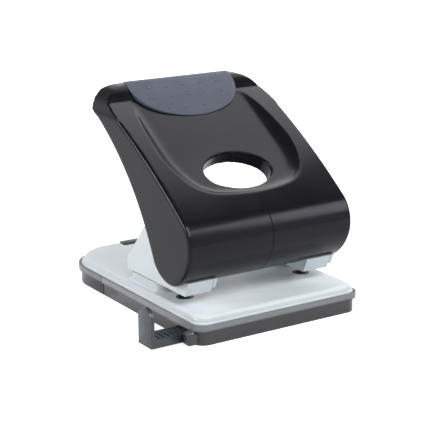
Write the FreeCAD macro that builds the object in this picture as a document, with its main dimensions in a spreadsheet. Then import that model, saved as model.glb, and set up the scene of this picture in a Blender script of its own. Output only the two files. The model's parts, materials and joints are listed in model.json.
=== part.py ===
"""Two-hole lever punch: base plate on a chip tray, two towers, a swinging handle and a side guide.

Frame: millimetres, +Z up, +X to the user's right, -Y towards the user. The origin is on the
floor under the middle of the base. The handle pieces are drawn flat in a frame of their own,
whose origin is on the handle's axle, and are tipped up by the handle's slope.
"""
import FreeCAD, Part
import os
from math import atan2, cos, floor, radians, sin, sqrt
import Sketcher
from FreeCAD import Vector

SIZES = {
    # base plate: a pressed steel cover standing on the rim of the tray
    "plate_width": 107.0,
    "plate_depth": 149.2,
    "plate_height": 4.3,
    "plate_sheet": 1.5,
    "plate_edge_radius": 4.0,
    "front_corner_radius": 7.5,
    "rear_corner_radius": 25.0,
    # chip tray
    "skirt_height": 8.0,
    "lip_height": 3.5,
    "lip_margin_side": 2.0,
    "lip_margin_front": 1.65,
    "skirt_inset_side": 1.65,
    "skirt_inset_front": 0.9,
    "tray_wall": 2.0,
    "tray_floor": 1.0,
    "lug_width": 35.4,
    "lug_depth": 7.0,
    "lug_rise": 4.8,
    "lug_setback": 1.0,
    "lug_gap": 1.2,
    "slit_setback": 46.05,
    "slit_width": 0.8,
    "slit_depth": 0.9,
    "latch_width": 5.2,
    "latch_proud": 5.8,
    "latch_top": 8.4,
    "latch_bottom": 0.9,
    "latch_gap": 1.0,
    "grip_disc_radius": 6.5,
    "grip_disc_height": 0.6,
    "grip_disc_inset_side": 13.0,
    "grip_disc_inset_front": 17.0,
    # side guide
    "guide_width": 13.6,
    "guide_setback": 16.95,
    "guide_reach": 24.1,
    "guide_thickness": 2.2,
    "guide_shoulder": 17.3,
    "guide_top": 22.6,
    "guide_bottom": 1.0,
    "guide_arm_height": 4.6,
    "guide_arm_hidden": 72.0,
    "guide_clearance": 0.3,
    "channel_wall": 1.4,
    "rib_pitch": 3.0,
    "rib_width": 1.5,
    "rib_depth": 0.6,
    # punching layout
    "pin_pitch": 80.0,
    "paper_margin": 12.0,
    "stop_place": -27.0,
    "throat_height": 6.0,
    # towers
    "tower_width": 19.1,
    "tower_sheet": 2.0,
    "tower_front": 54.3,
    "tower_rear": 8.0,
    "tower_rear_height": 6.2,
    "tower_top": 54.0,
    "tower_top_rear": 14.0,
    "web_lean": 3.4,
    "web_height": 8.1,
    "web_gap": 0.3,
    "cheek_lift": 2.2,
    "throat_edge_back": 1.7,
    "pivot_boss_radius": 7.5,
    "foot_setback": 1.0,
    "rivet_radius": 2.2,
    "rivet_clearance": 0.05,
    "rivet_high_back": 33.0,
    "rivet_low_back": 51.0,
    "rivet_high_rise": 23.0,
    "rivet_low_rise": 9.0,
    "foot_rivet_head_radius": 3.6,
    "foot_rivet_head_height": 1.2,
    "foot_rivet_pitch": 16.0,
    # punch pins, their guides, springs and dies
    "pin_radius": 3.0,
    "pin_fit": 0.06,
    "pin_head_radius": 4.8,
    "pin_head_height": 2.2,
    "pin_tip_gap": 0.1,
    "pin_notch_depth": 1.0,
    "guide_block_depth": 17.0,
    "guide_block_height": 9.0,
    "spring_wire_radius": 0.45,
    "spring_gap": 0.35,
    "spring_turns": 4.0,
    "die_radius": 5.0,
    "die_flange_radius": 7.5,
    "die_flange_height": 2.4,
    "die_relief_radius": 4.0,
    # axle and handle movement
    "pivot_height": 45.0,
    "press_arm": 14.7,
    "handle_swing": 36.0,
    "handle_slope": 32.9,
    "axle_radius": 3.0,
    "axle_fit": 0.05,
    "axle_end_gap": 0.4,
    "clip_radius": 5.0,
    "clip_thickness": 1.0,
    "clip_gap": 0.4,
    "clip_groove_depth": 0.6,
    # handle moulding
    "handle_gap": 2.45,
    "handle_wall": 2.5,
    "panel_crown_along": 43.0,
    "panel_crown_radius": 425.0,
    "nose_radius": 19.3,
    "nose_centre_along": 7.0,
    "nose_centre_rise": 2.0,
    "chin_turn": 4.0,
    "chin_along": 10.1,
    "chin_drop": 12.1,
    "chin_radius": 30.0,
    "heel_along": 4.5,
    "heel_drop": 19.0,
    "heel_radius": 14.0,
    "tail_along": 15.0,
    "tail_drop": 20.7,
    "tail_radius": 21.0,
    "lip_end_along": 8.3,
    "back_edge_radius": 160.0,
    "back_end_drop": 7.5,
    "roll_radius": 8.0,
    "roll_along": 111.9,
    "roll_rise": 13.0,
    "roll_valley_along": 101.7,
    "roll_crown_radius": 1050.0,
    "roll_corner_radius": 15.0,
    "recess_floor_rise": 19.0,
    "recess_blend": 10.0,
    "recess_half_width": 46.5,
    "recess_bottom": 12.0,
    "recess_bottom_radius": 95.0,
    "recess_bottom_half": 24.0,
    "recess_bend_half": 40.35,
    "recess_bend_along": 28.7,
    "recess_bend_radius": 25.0,
    "recess_side_along": 56.2,
    "recess_side_radius": 65.0,
    "recess_end": 110.0,
    "recess_end_radius": 15.0,
    "hole_along": 37.2,
    "hole_width": 43.0,
    "hole_height": 28.6,
    "hole_end_radius": 10.5,
    "collar_wall": 2.0,
    "collar_depth": 8.5,
    "tower_notch_gap": 0.5,
    "tower_notch_rise": 0.25,
    "pad_thickness": 0.9,
    "pad_half_width": 35.7,
    "pad_tip_along": 83.6,
    "pad_tip_radius": 51.0,
    "pad_side_radius": 24.4,
    "pad_side_half": 21.7,
    "pad_seat_gap": 0.05,
    # lever inside the handle
    "lever_sheet": 2.5,
    "ear_sheet": 2.0,
    "lever_side_gap": 0.3,
    "ear_radius": 6.0,
    "ear_bar_radius": 4.4,
    "ear_root_low": 3.0,
    "ear_root_high": 26.0,
    "bridge_low": 58.0,
    "bridge_high": 82.0,
    "bar_radius": 3.0,
    "bar_gap": 0.3,
    "screw_radius": 1.6,
    "screw_grip": 2.0,
    "screw_head_radius": 3.2,
    "screw_head_height": 1.8,
    "screw_low_along": 43.0,
    "screw_high_along": 71.0,
    "screw_edge": 0.25,
}


class Size:
    """A number together with the spreadsheet formula that gives it."""

    def __init__(self, value, text):
        self.value = float(value)
        self.text = text

    def _join(self, other, sign, value, swap=False):
        other_text = other.text if isinstance(other, Size) else "%g" % other
        pair = (other_text, self.text) if swap else (self.text, other_text)
        return Size(value, "(%s %s %s)" % (pair[0], sign, pair[1]))

    def __add__(self, other):
        return self._join(other, "+", self.value + float(other))

    def __radd__(self, other):
        return self._join(other, "+", self.value + float(other), True)

    def __sub__(self, other):
        return self._join(other, "-", self.value - float(other))

    def __rsub__(self, other):
        return self._join(other, "-", float(other) - self.value, True)

    def __mul__(self, other):
        return self._join(other, "*", self.value * float(other))

    def __rmul__(self, other):
        return self._join(other, "*", self.value * float(other), True)

    def __truediv__(self, other):
        return self._join(other, "/", self.value / float(other))

    def __neg__(self):
        return Size(-self.value, "(0 - %s)" % self.text)

    def __float__(self):
        return self.value


def size_of(number):
    """Any plain number as a Size."""
    return number if isinstance(number, Size) else Size(number, "%g" % number)


def cosine(angle):
    """Cosine of a Size in degrees."""
    return Size(cos(radians(angle.value)), "cos(%s)" % angle.text)


def sine(angle):
    """Sine of a Size in degrees."""
    return Size(sin(radians(angle.value)), "sin(%s)" % angle.text)


def root(number):
    """Square root of a Size."""
    return Size(sqrt(number.value), "sqrt(%s)" % number.text)


def whole(number):
    """Whole part of a Size."""
    return Size(floor(number.value), "floor(%s)" % number.text)


def square(number):
    """A Size times itself."""
    return number * number


doc = FreeCAD.newDocument("lever_punch")
sheet = doc.addObject("Spreadsheet::Sheet", "sizes")
for row, (alias, value) in enumerate(SIZES.items(), 1):
    sheet.set("A%d" % row, alias)
    sheet.set("B%d" % row, "%g" % value)
    sheet.setAlias("B%d" % row, alias)
doc.recompute()
S = {alias: Size(value, "sizes.%s" % alias) for alias, value in SIZES.items()}
nodes = []


# ---------------------------------------------------------------- shared places
tray_top = S["skirt_height"] + S["lip_height"]
plate_top = tray_top + S["plate_height"]
throat_top = plate_top + S["throat_height"]
plate_half_width = S["plate_width"] / 2
plate_half_depth = S["plate_depth"] / 2
lip_half_width = plate_half_width + S["lip_margin_side"]
lip_half_depth = plate_half_depth + S["lip_margin_front"]
skirt_half_width = lip_half_width - S["skirt_inset_side"]
skirt_half_depth = lip_half_depth - S["skirt_inset_front"]
pin_place = S["stop_place"] - S["paper_margin"]
half_swing = S["handle_swing"] / 2
pivot_place = pin_place - S["press_arm"] * cosine(half_swing)
tower_inner = S["pin_pitch"] / 2 - S["tower_width"] / 2
cavity_half_width = S["pin_pitch"] / 2 + S["tower_width"] / 2 + S["handle_gap"]
handle_half_width = cavity_half_width + S["handle_wall"]
lever_arm_near = tower_inner + S["tower_sheet"] + S["lever_side_gap"]
lever_arm_far = tower_inner + S["tower_width"] - S["tower_sheet"] - S["lever_side_gap"]
guide_place = S["guide_setback"] - lip_half_depth
slit_place = skirt_half_depth - S["slit_setback"]
guide_push_in = S["guide_reach"] - S["guide_thickness"] - S["skirt_inset_side"] - S["guide_clearance"]
panel_underside = S["recess_floor_rise"] - S["handle_wall"]
bar_along = S["press_arm"] * cosine(half_swing - S["handle_slope"])
bar_rise = S["press_arm"] * sine(half_swing - S["handle_slope"])
pin_head_top = S["pivot_height"] + S["press_arm"] * sine(half_swing) - S["bar_radius"] - S["bar_gap"]


# ---------------------------------------------------------------- helpers
def bind(item, path, size):
    """Tie one property of an object to the sheet."""
    item.setExpression(path, size_of(size).text)


def new_body(name):
    return doc.addObject("PartDesign::Body", name + "_body")


def origin_feature(body, role):
    for feature in body.Origin.OriginFeatures:
        if feature.Role == role:
            return feature
    raise RuntimeError("no origin feature " + role)


def new_sketch(body, name, role, offset=0.0):
    """Sketch on one of the body's own planes, lifted along the plane's normal."""
    sketch = body.newObject("Sketcher::SketchObject", name)
    sketch.AttachmentSupport = [(origin_feature(body, role), "")]
    sketch.MapMode = "FlatFace"
    lift = size_of(offset)
    sketch.AttachmentOffset = FreeCAD.Placement(Vector(0, 0, lift.value), FreeCAD.Rotation())
    bind(sketch, "AttachmentOffset.Base.z", lift)
    return sketch


def pin_point(sketch, item, end, place):
    """Hold one point of a sketch element at a place given by two sizes."""
    for kind, size in (("DistanceX", place[0]), ("DistanceY", place[1])):
        size = size_of(size)
        index = sketch.addConstraint(Sketcher.Constraint(kind, -1, 1, item, end, size.value))
        bind(sketch, "Constraints[%d]" % index, size)


def add_circle(sketch, centre, radius):
    """One full circle."""
    middle = Vector(float(size_of(centre[0])), float(size_of(centre[1])), 0)
    item = sketch.addGeometry(Part.Circle(middle, Vector(0, 0, 1), float(radius)), False)
    pin_point(sketch, item, 3, centre)
    index = sketch.addConstraint(Sketcher.Constraint("Radius", item, float(radius)))
    bind(sketch, "Constraints[%d]" % index, radius)


def arc_between(start, end, radius):
    """Arc from start to end; a positive radius turns left, a negative one turns right."""
    if radius < 0:
        return arc_between(end, start, -radius)
    chord = end - start
    half = chord.Length / 2
    rise = sqrt(max(radius * radius - half * half, 0.0))
    side = Vector(-chord.y, chord.x, 0).normalize()
    centre = start + chord * 0.5 + side * rise
    first = atan2(start.y - centre.y, start.x - centre.x)
    last = atan2(end.y - centre.y, end.x - centre.x)
    return Part.ArcOfCircle(Part.Circle(centre, Vector(0, 0, 1), radius), first, last)


def add_outline(sketch, corners):
    """Closed outline. A corner's third value is the radius of the arc that follows it."""
    places = [Vector(float(size_of(c[0])), float(size_of(c[1])), 0) for c in corners]
    items = []
    for index, corner in enumerate(corners):
        start = places[index]
        end = places[(index + 1) % len(corners)]
        if len(corner) == 3:
            radius = size_of(corner[2])
            item = sketch.addGeometry(arc_between(start, end, radius.value), False)
            size = radius if radius.value > 0 else -radius
            where = sketch.addConstraint(Sketcher.Constraint("Radius", item, size.value))
            bind(sketch, "Constraints[%d]" % where, size)
            ends = (1, 2) if radius.value > 0 else (2, 1)
        else:
            item = sketch.addGeometry(Part.LineSegment(start, end), False)
            ends = (1, 2)
        items.append((item, ends))
    for index, (item, ends) in enumerate(items):
        follower, follower_ends = items[(index + 1) % len(items)]
        sketch.addConstraint(Sketcher.Constraint("Coincident", item, ends[1], follower, follower_ends[0]))
        pin_point(sketch, item, ends[0], corners[index])


def rectangle(left, right, low, high):
    return [(left, low), (right, low), (right, high), (left, high)]


def rounded_rectangle(half_width, low, high, low_radius, high_radius):
    """Rectangle about X=0 with one corner radius at its low end and one at its high end."""
    return [
        (low_radius - half_width, low),
        (half_width - low_radius, low, low_radius),
        (half_width, low + low_radius),
        (half_width, high - high_radius, high_radius),
        (half_width - high_radius, high),
        (high_radius - half_width, high, high_radius),
        (-half_width, high - high_radius),
        (-half_width, low + low_radius, low_radius),
    ]


def extrude(body, kind, sketch, length, symmetric=False, back=False):
    """Pad or Pocket of a sketch, checked to have changed the solid the right way."""
    doc.recompute()
    before = body.Shape.Volume if body.Tip else 0.0
    feature = body.newObject("PartDesign::" + kind, kind.lower() + "_" + sketch.Name)
    feature.Profile = sketch
    feature.Length = float(size_of(length))
    bind(feature, "Length", length)
    if symmetric:
        feature.Midplane = True
    feature.Reversed = back
    doc.recompute()
    gain = feature.Shape.Volume - before
    if (gain <= 1e-6) if kind == "Pad" else (gain >= -1e-6):
        raise RuntimeError("%s changed nothing" % feature.Name)
    return feature


def pad(body, name, role, corners, offset, length, symmetric=False, back=False):
    sketch = new_sketch(body, name, role, offset)
    add_outline(sketch, corners)
    return extrude(body, "Pad", sketch, length, symmetric, back)


def pocket(body, name, role, corners, offset, length, symmetric=False, back=False):
    sketch = new_sketch(body, name, role, offset)
    add_outline(sketch, corners)
    return extrude(body, "Pocket", sketch, length, symmetric, back)


def drill(body, name, role, centres, radius, offset, length, symmetric=False, back=False):
    """Round holes."""
    sketch = new_sketch(body, name, role, offset)
    for centre in centres:
        add_circle(sketch, centre, radius)
    return extrude(body, "Pocket", sketch, length, symmetric, back)


def revolve(body, name, corners):
    """Turned piece about the body's own Z axis, from a half section of (radius, height)."""
    sketch = new_sketch(body, name, "XZ_Plane")
    add_outline(sketch, corners)
    feature = body.newObject("PartDesign::Revolution", "turned_" + name)
    feature.Profile = sketch
    feature.ReferenceAxis = (sketch, ["V_Axis"])
    feature.Angle = 360.0
    doc.recompute()
    return feature


def move(item, along_x=0.0, along_y=0.0, along_z=0.0):
    """Place an object by three sizes."""
    for axis, size in (("x", along_x), ("y", along_y), ("z", along_z)):
        bind(item, "Placement.Base." + axis, size)


def tip_up(item):
    """Place a handle piece: its own frame sits on the axle, tipped up by the handle's slope."""
    item.Placement = FreeCAD.Placement(Vector(), FreeCAD.Rotation(Vector(1, 0, 0), SIZES["handle_slope"]))
    bind(item, "Placement.Rotation.Angle", S["handle_slope"])
    move(item, 0.0, pivot_place, S["pivot_height"])


def finish(item, name):
    """Name a finished piece; its label is the node's name."""
    item.Label = name
    nodes.append(item)
    return item


def cylinder(name, radius, height, place, turned=False):
    """Part::Cylinder along Z, or along X when turned."""
    item = doc.addObject("Part::Cylinder", name)
    bind(item, "Radius", radius)
    bind(item, "Height", height)
    if turned:
        item.Placement = FreeCAD.Placement(Vector(), FreeCAD.Rotation(Vector(0, 1, 0), 90))
    move(item, *place)
    return item


def fuse(name, items):
    item = doc.addObject("Part::MultiFuse", name)
    item.Shapes = items
    return item


def cut(name, base, tool):
    item = doc.addObject("Part::Cut", name)
    item.Base = base
    item.Tool = tool
    return item


def group(name, items):
    """Several equal pieces that share one node."""
    item = doc.addObject("Part::Compound", name + "_group")
    item.Links = items
    return finish(item, name)


# ---------------------------------------------------------------- base
def build_base_plate():
    body = new_body("base_plate")
    outline = rounded_rectangle(plate_half_width, -plate_half_depth, plate_half_depth,
                                S["front_corner_radius"], S["rear_corner_radius"])
    block = pad(body, "plate_outline", "XY_Plane", outline, tray_top, S["plate_height"])
    top = max(range(len(block.Shape.Faces)), key=lambda i: block.Shape.Faces[i].CenterOfMass.z)
    edge = body.newObject("PartDesign::Fillet", "rolled_edge")
    edge.Base = (block, ["Face%d" % (top + 1)])
    edge.Radius = SIZES["plate_edge_radius"]
    bind(edge, "Radius", S["plate_edge_radius"])
    doc.recompute()
    bottom = min(range(len(edge.Shape.Faces)), key=lambda i: edge.Shape.Faces[i].CenterOfMass.z)
    shell = body.newObject("PartDesign::Thickness", "pressed_sheet")
    shell.Base = (edge, ["Face%d" % (bottom + 1)])
    shell.Value = SIZES["plate_sheet"]
    shell.Reversed = True
    shell.Join = 0
    bind(shell, "Value", S["plate_sheet"])
    doc.recompute()
    for side in (-1, 1):
        near = side * S["pin_pitch"] / 2 - S["tower_width"] / 2
        corners = rectangle(near, near + S["tower_width"], S["stop_place"], S["tower_rear"])
        pad(body, "stop_pad", "XY_Plane", corners, plate_top - S["plate_sheet"] / 2,
            S["throat_height"] + S["plate_sheet"] / 2)
    pins = [(side * S["pin_pitch"] / 2, pin_place) for side in (-1, 1)]
    drill(body, "die_holes", "XY_Plane", pins, S["die_radius"] + S["rivet_clearance"],
          plate_top, S["plate_sheet"] * 2)
    drill(body, "foot_rivet_holes", "XY_Plane", foot_rivet_places(),
          S["rivet_radius"] + S["rivet_clearance"], throat_top, S["throat_height"] + S["plate_sheet"] * 2)
    notch_half = S["lug_width"] / 2 + S["lug_gap"]
    notch_front = plate_half_depth - S["lug_setback"] - S["lug_depth"] - S["lug_gap"]
    pocket(body, "lug_notch", "XY_Plane",
           rectangle(-notch_half, notch_half, notch_front, plate_half_depth + 5),
           plate_top + 1, S["plate_height"] + 2)
    finish(body, "base_plate")


def foot_rivet_places():
    """Two rivets through each tower's foot and the raised pad under it."""
    middle = (S["stop_place"] + S["tower_rear"]) / 2
    return [(side * S["pin_pitch"] / 2, middle + end * S["foot_rivet_pitch"] / 2)
            for side in (-1, 1) for end in (-1, 1)]


def disc_places():
    """Centres of the grip discs under the tray."""
    along_x = skirt_half_width - S["grip_disc_inset_side"]
    along_y = skirt_half_depth - S["grip_disc_inset_front"]
    return [(side * along_x, end * along_y) for side in (-1, 1) for end in (-1, 1)]


def build_tray():
    body = new_body("chip_tray")

    def outline(half_width, half_depth, inset):
        return rounded_rectangle(half_width, -half_depth, half_depth,
                                 S["front_corner_radius"] - inset, S["rear_corner_radius"] - inset)

    pad(body, "skirt", "XY_Plane", outline(skirt_half_width, skirt_half_depth, 0.5), 0.0, S["skirt_height"])
    pad(body, "lip", "XY_Plane", outline(lip_half_width, lip_half_depth, 0.0),
        S["skirt_height"], S["lip_height"])
    inner_half = skirt_half_width - S["tray_wall"]
    inner_depth = skirt_half_depth - S["tray_wall"]
    pocket(body, "chip_room", "XY_Plane", outline(inner_half, inner_depth, S["tray_wall"] + 0.5),
           tray_top, tray_top - S["tray_floor"])
    arm_half = S["guide_width"] / 2 + S["guide_clearance"]
    channel_half = arm_half + S["channel_wall"]
    channel_end = S["guide_arm_hidden"] + guide_push_in - skirt_half_width + S["guide_clearance"]
    channel_top = S["guide_bottom"] + S["guide_arm_height"] + S["guide_clearance"]
    pad(body, "channel", "XY_Plane",
        rectangle(-inner_half - S["tray_wall"] / 2, channel_end + S["channel_wall"],
                  guide_place - channel_half, guide_place + channel_half),
        S["tray_floor"] / 2, channel_top + S["channel_wall"] - S["tray_floor"] / 2)
    pocket(body, "channel_room", "XY_Plane",
           rectangle(-lip_half_width - 5, channel_end,
                     guide_place - arm_half, guide_place + arm_half),
           channel_top, channel_top - S["tray_floor"])
    lug_rear = plate_half_depth - S["lug_setback"]
    pad(body, "rear_lug", "XY_Plane",
        rectangle(-S["lug_width"] / 2, S["lug_width"] / 2, lug_rear - S["lug_depth"], lug_rear),
        S["skirt_height"] / 2, tray_top + S["lug_rise"] - S["skirt_height"] / 2)
    slit = rectangle(-lip_half_width - 1, -skirt_half_width + S["slit_depth"],
                     slit_place - S["slit_width"] / 2, slit_place + S["slit_width"] / 2)
    pocket(body, "side_slit", "XY_Plane", slit, tray_top, tray_top)
    latch_near = guide_place - channel_half + S["channel_wall"] - S["latch_gap"]
    arch = S["latch_width"] / 2
    pad(body, "latch", "YZ_Plane",
        [(latch_near - S["latch_width"], S["latch_bottom"]), (latch_near, S["latch_bottom"]),
         (latch_near, S["latch_top"] - arch, arch), (latch_near - arch, S["latch_top"], arch),
         (latch_near - S["latch_width"], S["latch_top"] - arch)],
        -skirt_half_width - S["latch_proud"], S["latch_proud"] + S["tray_wall"] / 2)
    drill(body, "disc_seats", "XY_Plane", disc_places(), S["grip_disc_radius"], 0.0,
          S["grip_disc_height"], back=True)
    finish(body, "chip_tray")
    discs = []
    for index, place in enumerate(disc_places()):
        discs.append(cylinder("disc%d" % index, S["grip_disc_radius"] - S["rivet_clearance"],
                              S["grip_disc_height"], (place[0], place[1], 0.0)))
    group("grip_discs", discs)


def build_guide():
    body = new_body("paper_guide")
    outer = -skirt_half_width - S["guide_reach"]
    low = guide_place - S["guide_width"] / 2
    high = guide_place + S["guide_width"] / 2
    rise = S["guide_top"] - S["guide_shoulder"]
    half = S["guide_width"] / 2
    arch = (half * half + rise * rise) / (rise * 2)
    pad(body, "upright", "YZ_Plane",
        [(low, S["guide_bottom"]), (high, S["guide_bottom"]), (high, S["guide_shoulder"], arch),
         (guide_place, S["guide_top"], arch), (low, S["guide_shoulder"])],
        outer, S["guide_thickness"])
    arm_length = S["guide_reach"] + S["guide_arm_hidden"] - S["guide_thickness"] / 2
    pad(body, "arm", "XY_Plane",
        rectangle(outer + S["guide_thickness"] / 2, outer + S["guide_thickness"] / 2 + arm_length, low, high),
        S["guide_bottom"], S["guide_arm_height"])
    first = outer + S["guide_thickness"] + S["rib_pitch"]
    grooves = pocket(body, "groove", "XY_Plane",
                     rectangle(first, first + S["rib_width"], low + S["channel_wall"], high - S["channel_wall"]),
                     S["guide_bottom"] + S["guide_arm_height"], S["rib_depth"])
    rows = body.newObject("PartDesign::LinearPattern", "groove_row")
    rows.Originals = [grooves]
    rows.Direction = (origin_feature(body, "X_Axis"), [""])
    run = arm_length - S["rib_pitch"] * 4
    count = whole(run / S["rib_pitch"]) + 1
    rows.Length = float(run)
    rows.Occurrences = int(count.value)
    bind(rows, "Length", run)
    bind(rows, "Occurrences", count)
    body.Tip = rows
    finish(body, "paper_guide")


# ---------------------------------------------------------------- towers
def side_outline(front_low, low_edge):
    """Side plate of a tower, seen from the side: foot, leaning front, pivot boss, sloping rear."""
    boss = S["pivot_boss_radius"]
    rear_low = throat_top + S["tower_rear_height"]
    web_top = throat_top + S["web_height"]
    return [
        (front_low, low_edge),
        (S["stop_place"], low_edge),
        (S["stop_place"], throat_top),
        (S["tower_rear"], throat_top),
        (S["tower_rear"], rear_low),
        (-S["tower_top_rear"], S["tower_top"]),
        (pivot_place, S["tower_top"]),
        (pivot_place - boss * 0.8, S["pivot_height"] + boss * 0.6),
        (pivot_place - boss, S["pivot_height"]),
        (pivot_place - boss * 0.6, S["pivot_height"] - boss * 0.8),
        (pivot_place + S["throat_edge_back"], web_top),
    ]


def cross_rivet_places():
    """Rivets that tie a tower's two side plates together, as (y, z)."""
    return [(pivot_place + S["rivet_high_back"], throat_top + S["rivet_high_rise"]),
            (pivot_place + S["rivet_low_back"], throat_top + S["rivet_low_rise"])]


def build_tower(side, name):
    near = side * S["pin_pitch"] / 2 - S["tower_width"] / 2
    sheet_size = S["tower_sheet"]
    web_width = S["tower_width"] - sheet_size - S["web_gap"]
    web_top = throat_top + S["web_height"]
    lean = S["web_lean"]
    front = -S["tower_front"]
    body = new_body(name + "_tower")
    outline = side_outline(front, throat_top)
    outline = [outline[0]] + outline[3:-1] + [(pivot_place + S["throat_edge_back"], web_top),
                                              (front - lean, web_top)]
    pad(body, "side", "YZ_Plane", outline, near, sheet_size)
    pad(body, "web", "YZ_Plane",
        [(front, throat_top), (front + sheet_size, throat_top),
         (front + sheet_size - lean, web_top), (front - lean, web_top)], near, web_width)
    pad(body, "foot", "YZ_Plane",
        rectangle(S["stop_place"] + S["foot_setback"], S["tower_rear"] - S["foot_setback"],
                  throat_top, throat_top + sheet_size), near, web_width)
    drill(body, "axle_hole", "YZ_Plane", [(pivot_place, S["pivot_height"])],
          S["axle_radius"] + S["rivet_clearance"], near, sheet_size * 2, symmetric=True)
    drill(body, "rivet_holes", "YZ_Plane", cross_rivet_places(),
          S["rivet_radius"] + S["rivet_clearance"], near, sheet_size * 2, symmetric=True)
    places = [place for place in foot_rivet_places() if place[0].value * side > 0]
    drill(body, "foot_holes", "XY_Plane", places, S["rivet_radius"] + S["rivet_clearance"],
          throat_top + sheet_size, sheet_size * 2, symmetric=True)
    finish(body, name + "_tower")

    cheek = new_body(name + "_side_plate")
    cheek_near = near + S["tower_width"] - sheet_size
    cheek_low = throat_top + S["cheek_lift"]
    lean_there = lean * S["cheek_lift"] / S["web_height"]
    outline = side_outline(front - lean_there, cheek_low)
    outline = outline[:-1] + [(pivot_place + S["throat_edge_back"], web_top), (front - lean, web_top)]
    pad(cheek, "side", "YZ_Plane", outline, cheek_near, sheet_size)
    drill(cheek, "axle_hole", "YZ_Plane", [(pivot_place, S["pivot_height"])],
          S["axle_radius"] + S["rivet_clearance"], cheek_near, sheet_size * 2, symmetric=True)
    drill(cheek, "rivet_holes", "YZ_Plane", cross_rivet_places(),
          S["rivet_radius"] + S["rivet_clearance"], cheek_near, sheet_size * 2, symmetric=True)
    finish(cheek, name + "_side_plate")


def build_tower_rivets():
    rivets = []
    for side in (-1, 1):
        near = side * S["pin_pitch"] / 2 - S["tower_width"] / 2
        for place in cross_rivet_places():
            rivets.append(cylinder("cross_rivet", S["rivet_radius"], S["tower_width"],
                                   (near, place[0], place[1]), turned=True))
    group("tower_rivets", rivets)
    rivets = []
    foot_top = throat_top + S["tower_sheet"]
    under = plate_top - S["plate_sheet"]
    for place in foot_rivet_places():
        shank = cylinder("foot_shank", S["rivet_radius"], foot_top - under, (place[0], place[1], under))
        head = cylinder("foot_head", S["foot_rivet_head_radius"], S["foot_rivet_head_height"],
                        (place[0], place[1], foot_top))
        rivets.append(fuse("foot_rivet", [shank, head]))
    group("foot_rivets", rivets)


# ---------------------------------------------------------------- punching parts
def build_punch(side, name):
    place_x = side * S["pin_pitch"] / 2
    block_near = side * S["pin_pitch"] / 2 - S["tower_width"] / 2 + S["tower_sheet"]
    block_width = S["tower_width"] - S["tower_sheet"] * 2
    block = new_body(name + "_guide_block")
    pad(block, "block", "XY_Plane",
        rectangle(block_near, block_near + block_width,
                  pin_place - S["guide_block_depth"] / 2, pin_place + S["guide_block_depth"] / 2),
        throat_top, S["guide_block_height"])
    drill(block, "pin_bore", "XY_Plane", [(place_x, pin_place)], S["pin_radius"] + S["pin_fit"],
          throat_top, S["guide_block_height"] * 3, symmetric=True)
    finish(block, name + "_guide_block")

    tip = throat_top + S["pin_tip_gap"]
    head_low = pin_head_top - S["pin_head_height"]
    pin = new_body(name + "_punch_pin")
    revolve(pin, "pin_section",
            [(0.0, tip), (S["pin_radius"], tip), (S["pin_radius"], head_low),
             (S["pin_head_radius"], head_low), (S["pin_head_radius"], pin_head_top), (0.0, pin_head_top)])
    pocket(pin, "tip_notch", "YZ_Plane",
           [(-S["pin_radius"], tip - 1), (S["pin_radius"], tip - 1), (S["pin_radius"] * 0.8, tip),
            (0.0, tip + S["pin_notch_depth"]), (-S["pin_radius"] * 0.8, tip)],
           0.0, S["pin_radius"] * 3, symmetric=True)
    move(pin, place_x, pin_place, 0.0)
    finish(pin, name + "_punch_pin")

    coil_radius = S["pin_radius"] + S["spring_gap"] + S["spring_wire_radius"]
    low = throat_top + S["guide_block_height"] + S["spring_wire_radius"] + S["spring_gap"] / 3
    high = head_low - S["spring_wire_radius"] - S["spring_gap"] / 3
    spring = new_body(name + "_pin_spring")
    wire = new_sketch(spring, "wire", "XZ_Plane")
    around = S["spring_wire_radius"]
    add_outline(wire, [(coil_radius + around * cos(radians(step)), low + around * sin(radians(step)))
                       for step in range(0, 360, 60)])
    coil = spring.newObject("PartDesign::AdditiveHelix", "coil")
    coil.Profile = wire
    coil.ReferenceAxis = (wire, ["V_Axis"])
    coil.Mode = 2
    coil.Height = float(high - low)
    coil.Turns = SIZES["spring_turns"]
    bind(coil, "Height", high - low)
    bind(coil, "Turns", S["spring_turns"])
    move(spring, place_x, pin_place, 0.0)
    finish(spring, name + "_pin_spring")

    bore = S["pin_radius"] + S["pin_fit"]
    under = plate_top - S["plate_sheet"]
    die = new_body(name + "_die")
    revolve(die, "die_section",
            [(bore, plate_top), (bore, under), (S["die_relief_radius"], under - S["die_flange_height"]),
             (S["die_flange_radius"], under - S["die_flange_height"]), (S["die_flange_radius"], under),
             (S["die_radius"], under), (S["die_radius"], plate_top)])
    move(die, place_x, pin_place, 0.0)
    finish(die, name + "_die")


# ---------------------------------------------------------------- axle
def build_axle():
    half = cavity_half_width - S["axle_end_gap"]
    radius = S["axle_radius"]
    groove = radius - S["clip_groove_depth"]
    clip_outer = tower_inner - S["clip_gap"]
    clip_inner = clip_outer - S["clip_thickness"]
    body = new_body("pivot_axle")
    section = [(0.0, -half), (radius, -half), (radius, -clip_outer), (groove, -clip_outer),
               (groove, -clip_inner), (radius, -clip_inner), (radius, clip_inner),
               (groove, clip_inner), (groove, clip_outer), (radius, clip_outer), (radius, half), (0.0, half)]
    revolve(body, "axle_section", section)
    body.Placement = FreeCAD.Placement(Vector(), FreeCAD.Rotation(Vector(0, 1, 0), 90))
    move(body, 0.0, pivot_place, S["pivot_height"])
    finish(body, "pivot_axle")
    clips = []
    for place in (-clip_outer, clip_inner):
        where = (place, pivot_place, S["pivot_height"])
        ring = cylinder("clip_disc", S["clip_radius"], S["clip_thickness"], where, turned=True)
        eye = cylinder("clip_eye", groove + S["rivet_clearance"], S["clip_thickness"], where, turned=True)
        clips.append(cut("clip", ring, eye))
    group("axle_clips", clips)


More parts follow.
